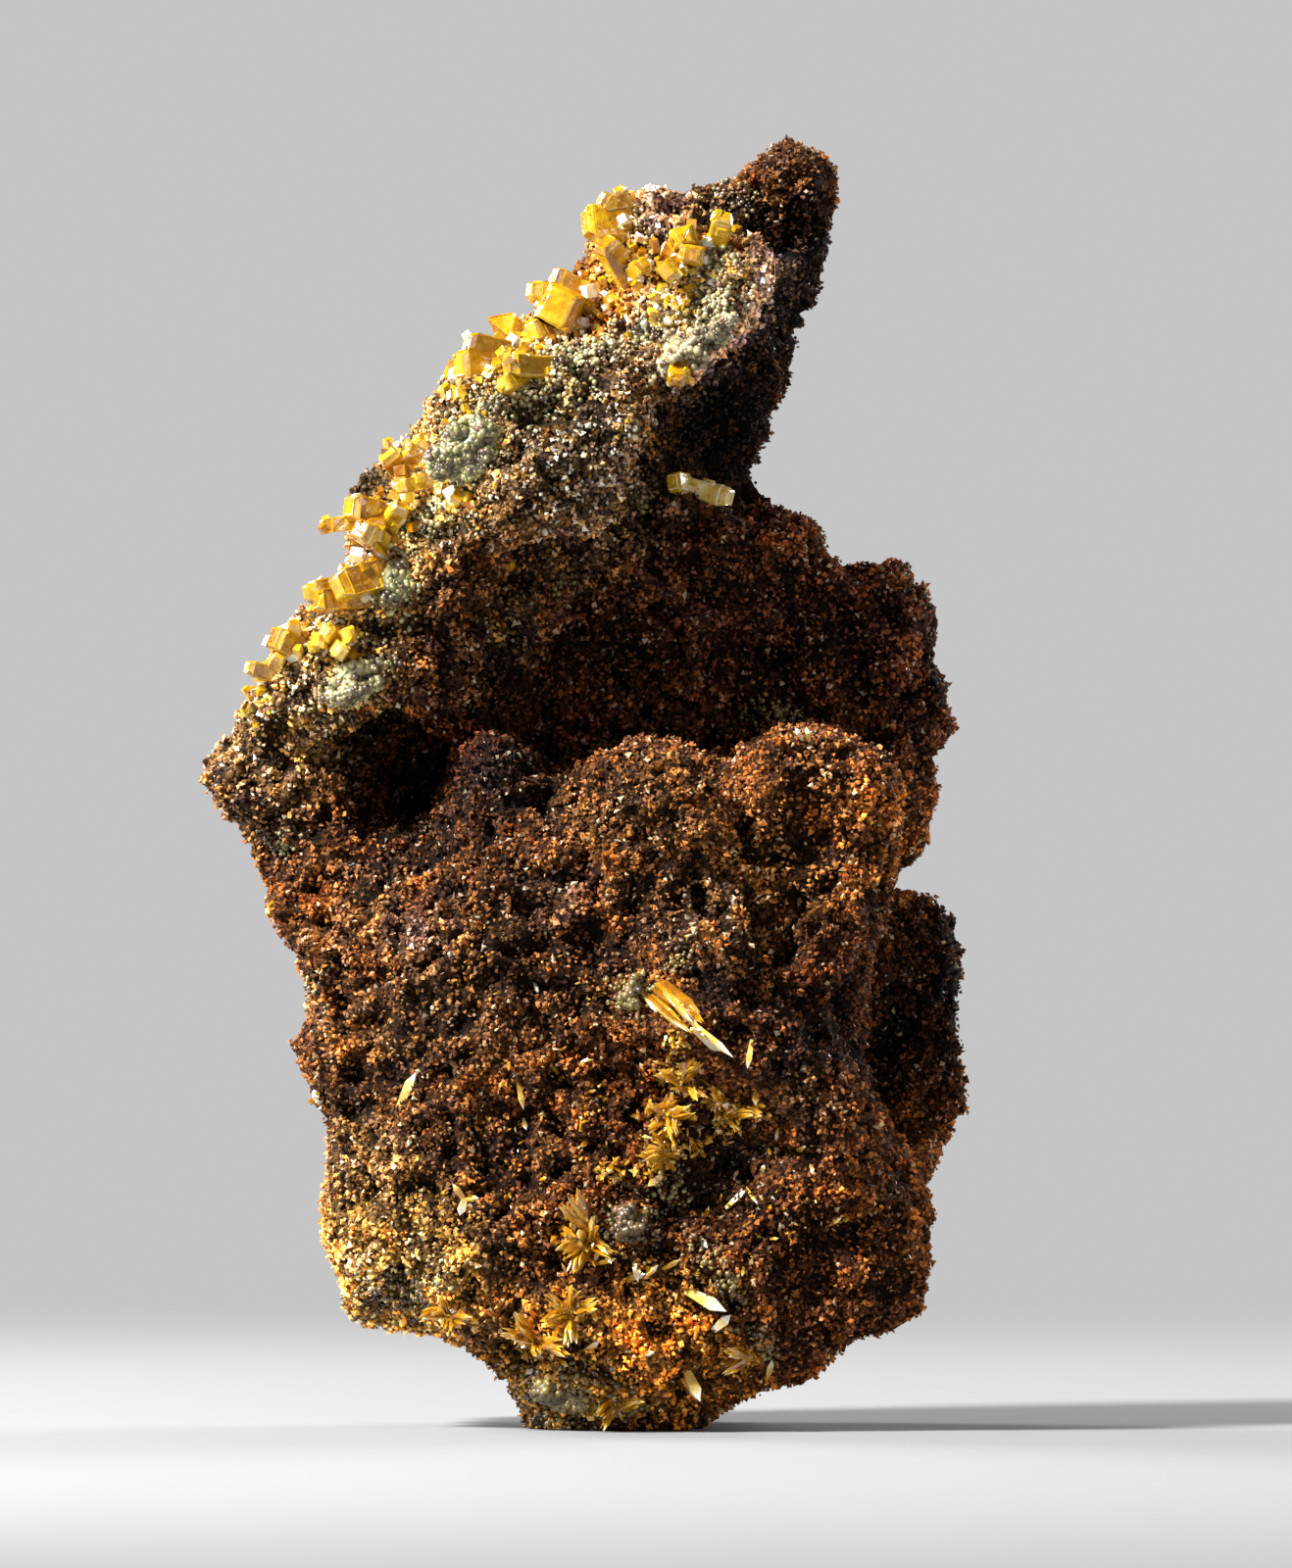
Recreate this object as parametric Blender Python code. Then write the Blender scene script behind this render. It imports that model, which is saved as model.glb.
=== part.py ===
"""Wulfenite and mimetite on a limonite matrix, standing upright on its flattened foot.

The matrix side faces -Y and the display side, with the larger crystals, faces +Y. The origin is the
middle of the foot, +Z is up, and the specimen is 150 mm tall, 90 mm wide and about 80 mm deep. Outlines
and places below are in millimetres and become metres in one place, metres().
"""

import math

import bmesh
import bpy
from mathutils import Matrix, Vector, noise
from mathutils.bvhtree import BVHTree

for old in list(bpy.data.objects):
    bpy.data.objects.remove(old)

MM = 0.001
GAP = 0.3 * MM  # clearance left round each crystal and crust in its socket
VOXEL = 1.3 * MM  # grid on which the masses of rock are fused
SHORTEST_EDGES = [0.2 * MM, 0.15 * MM, 0.1 * MM, 0.05 * MM, 0.01 * MM]
MATRIX_TRIANGLES = 3200
SOCKET_FLATNESS = 2.0  # degrees within which a socket's neighbouring facets count as one
FOOT_DEPTH = 3.0  # how far the foot mass runs below its flat cut, mm
ROOT_DEPTH = 1.3 * MM  # how far a crystal's root sits inside the rock
TIP_CLEARANCE = 0.35  # least height of a crystal over the rock below it, as a share of its thickness
CLEAR_OF_ROCK = (0.45, 0.6, 0.8, 1.0)  # shares of a crystal's length at which it has that height
CRUST_DEPTH = 1.2  # how much thicker a crust is than its rise, mm
CRUST_SINK = 0.4 * MM  # how far the middle of a crust sits inside the rock


def metres(x, y, z):
    return Vector((x, y, z)) * MM


# Limonite matrix: each mass of rock is an outline seen from the front (x, z) with a front plane and a
# back plane. The front plane is its depth y at the outline's middle and its slopes along x and z.

# How a mass draws in towards its front and back: shares of its depth, and how many edge shares it is
# smaller there.
SHOULDERS = [(0.0, 1.8), (0.04, 1.0), (0.14, 0.35), (0.35, 0.0), (0.7, 0.0), (0.88, 0.4), (0.96, 1.0),
             (1.0, 1.8)]

ROCK_MASSES = {
    "core": dict(
        outline=[(-40, 75), (-38, 84), (-35, 92), (-27, 101), (-22, 109), (-15, 118), (-6, 128),
                 (3, 139), (12, 142), (21, 144), (22, 132), (18, 118), (14, 107), (22, 103), (34, 96),
                 (36, 84), (34, 70), (31, 60), (37, 56), (38, 41), (35, 22), (20, 9), (0, 3), (-15, 12),
                 (-28, 17), (-30, 40), (-33, 54), (-38, 63)],
        front=(8, 0, 0), back=(23, 0, 0), edge=0.25),
    "spur": dict(
        outline=[(8.5, 144), (11.5, 146), (13.5, 145.4), (15, 145.7), (16, 147.5), (18, 148.3),
                 (19.5, 149.5), (20.6, 150), (22.2, 148.3), (26.3, 148.3), (26.6, 145), (25.2, 142),
                 (26, 139.5), (24.7, 136.5), (23.2, 134.5), (23.4, 132.5), (21.2, 129.5), (20, 126.5),
                 (20, 123.5), (18, 120.3), (16.8, 118), (15.5, 113), (15.7, 111), (14, 107), (10, 103),
                 (2, 102), (0, 110), (3, 118), (6, 126), (7, 136)],
        front=(2, -0.05, -0.2), back=(20, 0, 0.05), edge=0.3),
    "shelf": dict(
        outline=[(-3.8, 136), (-2.5, 138), (-0.5, 140), (0.5, 143), (2, 144.8), (4, 145), (6, 144.6),
                 (8.5, 142.5), (11.5, 140), (14.5, 138.3), (17.2, 137.8), (18.3, 135), (18.5, 131),
                 (15.8, 127.6), (12.8, 124.2), (10, 121.6), (7, 120.6), (3, 121.5), (-3, 124),
                 (-10.5, 125.5), (-11.5, 127), (-10, 129), (-8.5, 131), (-6, 133.5)],
        front=(-12, -0.38, 0.36), back=(16, 0, 0), edge=0.16),
    "upper_block": dict(
        outline=[(-21, 121), (-20, 122.3), (-17.5, 122.8), (-14.5, 125), (-8, 126.6), (0, 126.6),
                 (4, 123.5), (4.2, 118), (4, 115.5), (1.5, 114.5), (0.6, 111), (0, 107), (-1.5, 104),
                 (-4, 103.2), (-8, 104.6), (-14.5, 101.3), (-18, 103), (-19.5, 108), (-21, 114),
                 (-22, 117), (-20.4, 119)],
        front=(-24, 0.02, 0.22), back=(22, 0, 0), edge=0.14),
    "left_ridge": dict(
        outline=[(-31.3, 108), (-30.3, 110.5), (-28.5, 111.8), (-25.5, 112.6), (-22.5, 115),
                 (-21.5, 117.5), (-17, 116), (-13.5, 108), (-14, 101), (-17, 96.5), (-20, 91),
                 (-24, 86), (-28, 83.5), (-30.5, 82), (-33, 80.3), (-38, 79.6), (-44, 80.6), (-44, 83),
                 (-42.6, 85.6), (-40.6, 88.4), (-39, 91), (-37, 93.6), (-35, 95.2), (-31.4, 98),
                 (-29.8, 101), (-30.6, 105)],
        front=(-17, -0.28, 0.16), back=(18, 0, 0), edge=0.16),
    "hanging_lump": dict(
        outline=[(-27, 92), (-24, 98), (-16, 103), (-8, 102), (-7.5, 94), (-10, 87), (-13.5, 82),
                 (-17, 80.3), (-22, 81.8), (-26, 85)],
        front=(-11, 0.25, 0.1), back=(12, 0, 0), edge=0.2),
    "left_nose": dict(
        outline=[(-48.4, 75), (-47.8, 77.2), (-46.5, 79), (-43.6, 79.8), (-38, 80), (-33, 79),
                 (-30.4, 75), (-28, 70.6), (-31, 66), (-38, 66.5), (-41.5, 68.3), (-44.5, 69.8),
                 (-45.6, 71.6), (-47, 73.4)],
        front=(-10, 0.12, -0.1), back=(13, 0, 0), edge=0.24),
    "left_flank": dict(
        outline=[(-41.2, 68.5), (-34, 70.5), (-25, 70.5), (-21, 66), (-22, 50), (-19, 30), (-22, 13),
                 (-27.5, 12.7), (-30.8, 13.2), (-31.3, 17), (-33, 20), (-33.8, 22), (-32.7, 26.5),
                 (-33.4, 31), (-33, 34), (-34.6, 38), (-34.8, 41), (-36.6, 44), (-37.4, 46),
                 (-34.6, 48), (-34.9, 50.5), (-36.6, 54), (-36.3, 56.5), (-38.2, 58), (-40, 60),
                 (-40.4, 63), (-41, 65)],
        front=(-17, -0.2, 0.02), back=(23, 0, 0), edge=0.2),
    "front_mass": dict(
        outline=[(-29, 58), (-26, 63), (-22.5, 66.5), (-19, 71), (-14, 71), (-6, 70), (0, 72), (10, 74),
                 (19, 74), (26, 76), (32, 75), (31.4, 66), (31.5, 61), (29, 55), (27, 50), (26.5, 45),
                 (28.5, 40), (31, 35), (34, 28), (35.6, 22), (35.5, 16), (33, 13), (27, 9.8),
                 (20.5, 5.6), (12, 3), (0, 2), (-10, 3), (-17.5, 10), (-24, 13), (-29, 17), (-31, 27),
                 (-30.5, 40), (-29, 50)],
        front=(-28, -0.02, 0.02), back=(24, 0, 0), edge=0.16),
    "saddle": dict(
        outline=[(-24, 64), (-21, 71), (-14, 76), (-6, 76), (2, 78), (12, 78), (22, 79), (31, 78),
                 (33, 72), (31.5, 64), (10, 58), (-12, 58)],
        front=(-17, 0.05, -0.3), back=(12, 0, 0), edge=0.2),
    "right_flank": dict(
        outline=[(20, 74), (31.5, 73), (31.6, 63), (30, 57), (29, 50), (28.5, 45), (31, 39), (34, 30),
                 (34, 22), (24, 22), (16, 40), (16, 62)],
        front=(-17, 0.75, 0), back=(16, 0, 0), edge=0.18),
    "middle_hump": dict(
        outline=[(-5.5, 70), (-4, 74), (-3, 77), (0, 79), (5, 80.4), (9, 79), (12, 75), (16, 70),
                 (18, 66), (13, 60), (2, 58), (-4, 62)],
        front=(-31, 0, -0.22), back=(10, 0, 0), edge=0.3),
    "right_hump": dict(
        outline=[(13, 76), (16, 80), (22, 81), (26, 80.6), (31, 80), (33.6, 77), (33, 72), (31.6, 68),
                 (31.6, 62), (28, 60), (22, 62), (18, 68), (14, 71)],
        front=(-26, 0.25, -0.3), back=(10, 0, 0), edge=0.26),
    "left_pillar": dict(
        outline=[(-20, 70), (-19, 76), (-17.5, 80.6), (-13, 80.2), (-10.5, 78), (-8.5, 74), (-6.5, 70),
                 (-8, 62), (-18, 62), (-24, 66)],
        front=(-19, 0, -0.35), back=(10, 0, 0), edge=0.26),
    "central_ridge": dict(
        outline=[(5, 59), (9.5, 62), (12.5, 61), (14.5, 57), (19, 52), (23, 47.5), (27, 42), (30, 34),
                 (25, 31), (19, 37), (12, 41), (5, 44), (0.5, 48), (-0.5, 51.5), (2.5, 53.5)],
        front=(-34.5, 0.06, 0.04), back=(-10, 0, 0), edge=0.34),
    "upper_right_wall": dict(
        outline=[(-14, 101), (-6, 106), (0, 108.4), (6, 109), (14, 108.4), (20, 107.2), (22, 105.4),
                 (24.8, 103.2), (24.4, 101.5), (26.3, 98.9), (29.8, 99.3), (31.6, 100.8), (34, 100.4),
                 (35.6, 99), (37.5, 95), (38.6, 89), (39.2, 82), (37.2, 78.5), (37, 73.5), (36.3, 67.5),
                 (33.6, 64.8), (31.8, 61.5), (24, 60), (8, 62), (-10, 66), (-20, 74), (-20, 90)],
        front=(4, -0.05, -0.24), back=(24, 0, 0), edge=0.14),
    "right_slab": dict(
        outline=[(31.5, 61.4), (34.5, 61.1), (37, 61.8), (39.5, 60), (40.6, 58), (41.5, 53.5),
                 (41, 49.5), (40.1, 46.5), (40.1, 44), (41.2, 38.5), (40, 35.8), (38.4, 35.4),
                 (37.3, 32), (37.1, 29), (36.2, 24), (31, 22), (26, 30), (26, 50), (28, 58)],
        front=(5, 0.05, 0), back=(23, 0, 0), edge=0.2),
    "lower_right_apron": dict(
        outline=[(26, 44), (29, 40), (32, 34), (35, 29), (36.4, 24), (36.3, 17), (35, 14), (31, 12.4),
                 (27, 9.8), (21, 8), (16, 20), (18, 34)],
        front=(-25, 0.3, 0.05), back=(14, 0, 0), edge=0.3),
    "lower_left_lobe": dict(
        outline=[(-31.2, 15), (-30.8, 13.2), (-27.5, 12.7), (-24.5, 11.8), (-20.5, 12), (-17.5, 10.5),
                 (-12, 14), (-14, 22), (-22, 26), (-31, 24), (-33.6, 22), (-32, 18.3)],
        front=(-20, -0.25, -0.1), back=(14, 0, 0), edge=0.3),
    "foot": dict(
        outline=[(-18.5, 12), (-16, 8.5), (-13.5, 6), (-11.3, 4.2), (-10.6, 2.4), (-9.6, 0),
                 (-9.2, -FOOT_DEPTH), (9.2, -FOOT_DEPTH), (9.8, 0), (10.8, 2.2), (15, 4), (20.5, 5.6),
                 (27, 10), (26, 16), (-16, 18)],
        front=(-21, 0, -0.45), back=(19, 0, 0.35), edge=0.1),
    "back_upper_swell": dict(
        outline=[(-16, 110), (-10, 122), (2, 132), (13, 130), (15, 116), (8, 104), (-8, 100)],
        front=(10, 0, 0), back=(27, 0, 0), edge=0.4),
    "back_middle_swell": dict(
        outline=[(-36, 84), (-26, 98), (-8, 104), (14, 100), (30, 88), (31, 72), (14, 62), (-12, 60),
                 (-32, 68)],
        front=(8, 0, 0), back=(28, 0, 0), edge=0.42),
    "back_lower_swell": dict(
        outline=[(-28, 52), (-10, 60), (16, 60), (33, 50), (33, 34), (20, 18), (0, 12), (-20, 22),
                 (-29, 36)],
        front=(8, 0, 0), back=(28, 0, 0), edge=0.42),
}

# Hollows and knobs worked into the rock after its masses are fused: centre (x, z), radius and how far
# the surface moves away from the viewer, all in mm. A negative depth is a knob that stands out.

FRONT_STROKES = [
    (-27.5, 77, 4.5, 8.0), (-5, 83.5, 6.0, 5.0), (-2, 77.5, 3.0, 4.0), (13, 31, 6.5, 9.0),
    (11.5, 25, 4.5, 5.0),
    (18, 58.5, 4.0, 6.0), (23.5, 67.5, 2.4, 5.0), (12.5, 75, 4.5, 5.0), (-7.5, 48.5, 4.0, 3.0),
    (3.5, 38, 4.0, 2.5), (20, 17.5, 5.0, 3.5), (-10.5, 97, 3.5, 3.0), (-31, 66, 3.0, 4.0),
    (-28.5, 45, 3.0, 3.0), (-32, 50, 3.0, 4.5), (15, 100, 5.0, 2.0), (3, 92, 5.0, 2.5),
    (-21, 85.5, 3.0, -3.5), (10, 56, 3.5, -3.0), (25, 58, 3.5, -2.0), (2, 24, 3.0, -2.5),
    (5.5, 29, 2.5, -2.0),
    (31, 77, 3.0, -2.5), (24, 79, 3.5, -2.0), (-25, 55, 5.0, -2.5), (-15, 55, 5.5, -2.0),
    (-14, 64, 4.5, -2.0),
    (-17, 42, 4.0, -2.0), (-6, 42, 3.0, -2.0), (24.5, 30.5, 3.5, -2.5), (28.5, 19, 3.0, -2.0),
    (-10, 112, 5.0, -1.5), (-4, 119, 4.0, -1.5), (-29.5, 110, 2.5, -2.5),
]
BACK_STROKES = [
    (-20, 78, 7.0, 5.0), (8, 88, 8.0, 4.0), (18, 50, 7.0, 5.0), (-14, 46, 8.0, 4.0), (4, 24, 7.0, 4.0),
    (0, 112, 6.0, 4.0), (28, 74, 5.0, 3.5), (20, 130, 4.5, 3.0), (-32, 88, 4.0, 2.5),
    (33, 44, 4.0, 3.0),
    (-6, 68, 8.0, -3.0), (12, 72, 6.0, -3.0), (-24, 34, 6.0, -3.0), (6, 42, 8.0, -3.0),
    (10, 120, 6.0, -3.0),
    (26, 90, 6.0, -3.0), (-20, 98, 6.0, -3.0), (24, 30, 6.0, -2.5), (8, 138, 5.0, -2.0),
]


def plane_depth(plane, middle, x, z):
    depth, slope_x, slope_z = plane
    return depth + slope_x * (x - middle[0]) + slope_z * (z - middle[1])


def add_mass(bm, outline, front, back, edge):
    """One closed lump of rock: its outline stands at full size in the middle of its depth, and the rings
    before and behind it draw in by the edge share, so that the lump has rounded shoulders."""
    middle = (sum(x for x, _ in outline) / len(outline), sum(z for _, z in outline) / len(outline))
    rings = []
    for share, shoulder in SHOULDERS:
        size = 1 - shoulder * edge
        ring = []
        for x, z in outline:
            px = middle[0] + (x - middle[0]) * size
            pz = middle[1] + (z - middle[1]) * size
            near = plane_depth(front, middle, px, pz)
            far = plane_depth(back, middle, px, pz)
            ring.append(bm.verts.new(metres(px, near + (far - near) * share, pz)))
        rings.append(ring)
    faces = [bm.faces.new(rings[0]), bm.faces.new(reversed(rings[-1]))]
    for ring, following in zip(rings, rings[1:]):
        for i in range(len(outline)):
            j = (i + 1) % len(outline)
            faces.append(bm.faces.new((ring[j], ring[i], following[i], following[j])))
    bmesh.ops.recalc_face_normals(bm, faces=faces)


def new_object(name, mesh):
    obj = bpy.data.objects.new(name, mesh)
    bpy.context.scene.collection.objects.link(obj)
    return obj


def mesh_of(bm, name):
    mesh = bpy.data.meshes.new(name)
    bm.to_mesh(mesh)
    bm.free()
    return mesh


def evaluated_mesh(obj):
    """The object's mesh with its modifiers carried out, and the object itself removed."""
    graph = bpy.context.evaluated_depsgraph_get()
    mesh = bpy.data.meshes.new_from_object(obj.evaluated_get(graph))
    bpy.data.objects.remove(obj)
    return mesh


def islands_of(bm):
    left = set(bm.verts)
    while left:
        island, border = set(), [left.pop()]
        while border:
            vert = border.pop()
            island.add(vert)
            for edge in vert.link_edges:
                other = edge.other_vert(vert)
                if other in left:
                    left.remove(other)
                    border.append(other)
        yield island


def keep_largest_island(bm):
    islands = sorted(islands_of(bm), key=len)
    for island in islands[:-1]:
        bmesh.ops.delete(bm, geom=list(island), context="VERTS")


def ease(bm, times):
    for _ in range(times):
        bmesh.ops.smooth_vert(bm, verts=bm.verts, factor=0.5,
                              use_axis_x=True, use_axis_y=True, use_axis_z=True)
    bm.normal_update()


def move_all(bm, shift_of):
    moves = [(vert, shift_of(vert)) for vert in bm.verts]
    for vert, shift in moves:
        vert.co += shift


def stroke_shift(vert):
    """Hollows and knobs from the two lists, and a slow bend in depth that breaks up straight walls."""
    facing = -1 if vert.normal.y < 0 else 1
    shift = noise.noise(vert.co / (15 * MM)) * 3.2
    for x, z, radius, depth in FRONT_STROKES if facing < 0 else BACK_STROKES:
        reach = math.hypot(vert.co.x / MM - x, vert.co.z / MM - z) / radius
        if reach < 1.8:
            shift -= facing * depth * math.exp(-2 * reach * reach) * abs(vert.normal.y)
    return Vector((0, shift * MM, 0))


def lumpy_shift(vert):
    """Limonite's rounded knobs with creases between them, pushed out along the surface."""
    place = vert.co / MM
    knobs = 0.35 - abs(noise.noise(place / 10))
    lumps = 0.3 - abs(noise.noise(place / 5.5 + Vector((7, 3, 1))))
    grit = noise.noise(place / 3 + Vector((2, 9, 4)))
    return vert.normal * (2.4 * knobs + 2.0 * lumps + 0.5 * grit) * MM


def work_surface(bm):
    """Turns the fused masses into weathered rock: eased steps, then strokes, then knobs."""
    ease(bm, 3)
    move_all(bm, stroke_shift)
    ease(bm, 2)
    move_all(bm, lumpy_shift)


def flatten_foot(bm):
    """Cuts the foot off on the plane that the specimen stands on, and closes the cut with a flat face."""
    geometry = list(bm.verts) + list(bm.edges) + list(bm.faces)
    bmesh.ops.bisect_plane(bm, geom=geometry, plane_co=(0, 0, 0), plane_no=(0, 0, -1), clear_outer=True)
    bmesh.ops.holes_fill(bm, edges=[edge for edge in bm.edges if edge.is_boundary], sides=0)
    bmesh.ops.recalc_face_normals(bm, faces=bm.faces)


def fused(bm, name):
    """The masses or the worked rock as one closed skin on a fine grid, without anything loose."""
    rough = new_object(name, mesh_of(bm, name))
    remesh = rough.modifiers.new("Fuse", "REMESH")
    remesh.mode = "VOXEL"
    remesh.voxel_size = VOXEL
    bm = bmesh.new()
    bm.from_mesh(evaluated_mesh(rough))
    keep_largest_island(bm)
    return bm


def coarsened(bm, name, triangles):
    fine = sum(len(face.verts) - 2 for face in bm.faces)
    rock = new_object(name, mesh_of(bm, name))
    decimate = rock.modifiers.new("Coarsen", "DECIMATE")
    decimate.ratio = triangles / fine
    decimate.use_collapse_triangulate = True
    bm = bmesh.new()
    bm.from_mesh(evaluated_mesh(rock))
    return bm


def limonite_mesh():
    bm = bmesh.new()
    for mass in ROCK_MASSES.values():
        add_mass(bm, **mass)
    bm = fused(bm, "rough_rock")
    work_surface(bm)
    bm = fused(bm, "worked_rock")
    bm = coarsened(bm, "coarse_rock", MATRIX_TRIANGLES)
    flatten_foot(bm)
    return mesh_of(bm, "limonite_matrix")


# Wulfenite crystals. Each has a root and a tip in the front view (x, z), how far its tip stands nearer
# to the viewer than its root, its width across the view, its thickness and its turn about its own
# length, in mm and degrees. A profile says how wide the crystal is along its length.

PRISM = [(0.0, 1.0), (0.84, 1.0), (1.0, 0.72)]
BLADE = [(0.0, 0.5), (0.5, 1.0), (1.0, 0.1)]


def prism(root, tip, toward, width, thick, turn=0):
    return dict(profile=PRISM, root=root, tip=tip, toward=toward, width=width, thick=thick, turn=turn)


def blade(root, tip, toward, width, thick, turn=45):
    return dict(profile=BLADE, root=root, tip=tip, toward=toward, width=width, thick=thick, turn=turn)


def rosette(middle, length, toward, width, thick, angles):
    """Blades that spread from one root; angles are counted from +X towards +Z."""
    blades = []
    for angle in angles:
        across, up = length * math.cos(math.radians(angle)), length * math.sin(math.radians(angle))
        blades.append(blade(middle, (middle[0] + across, middle[1] + up), toward, width, thick))
    return blades


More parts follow.
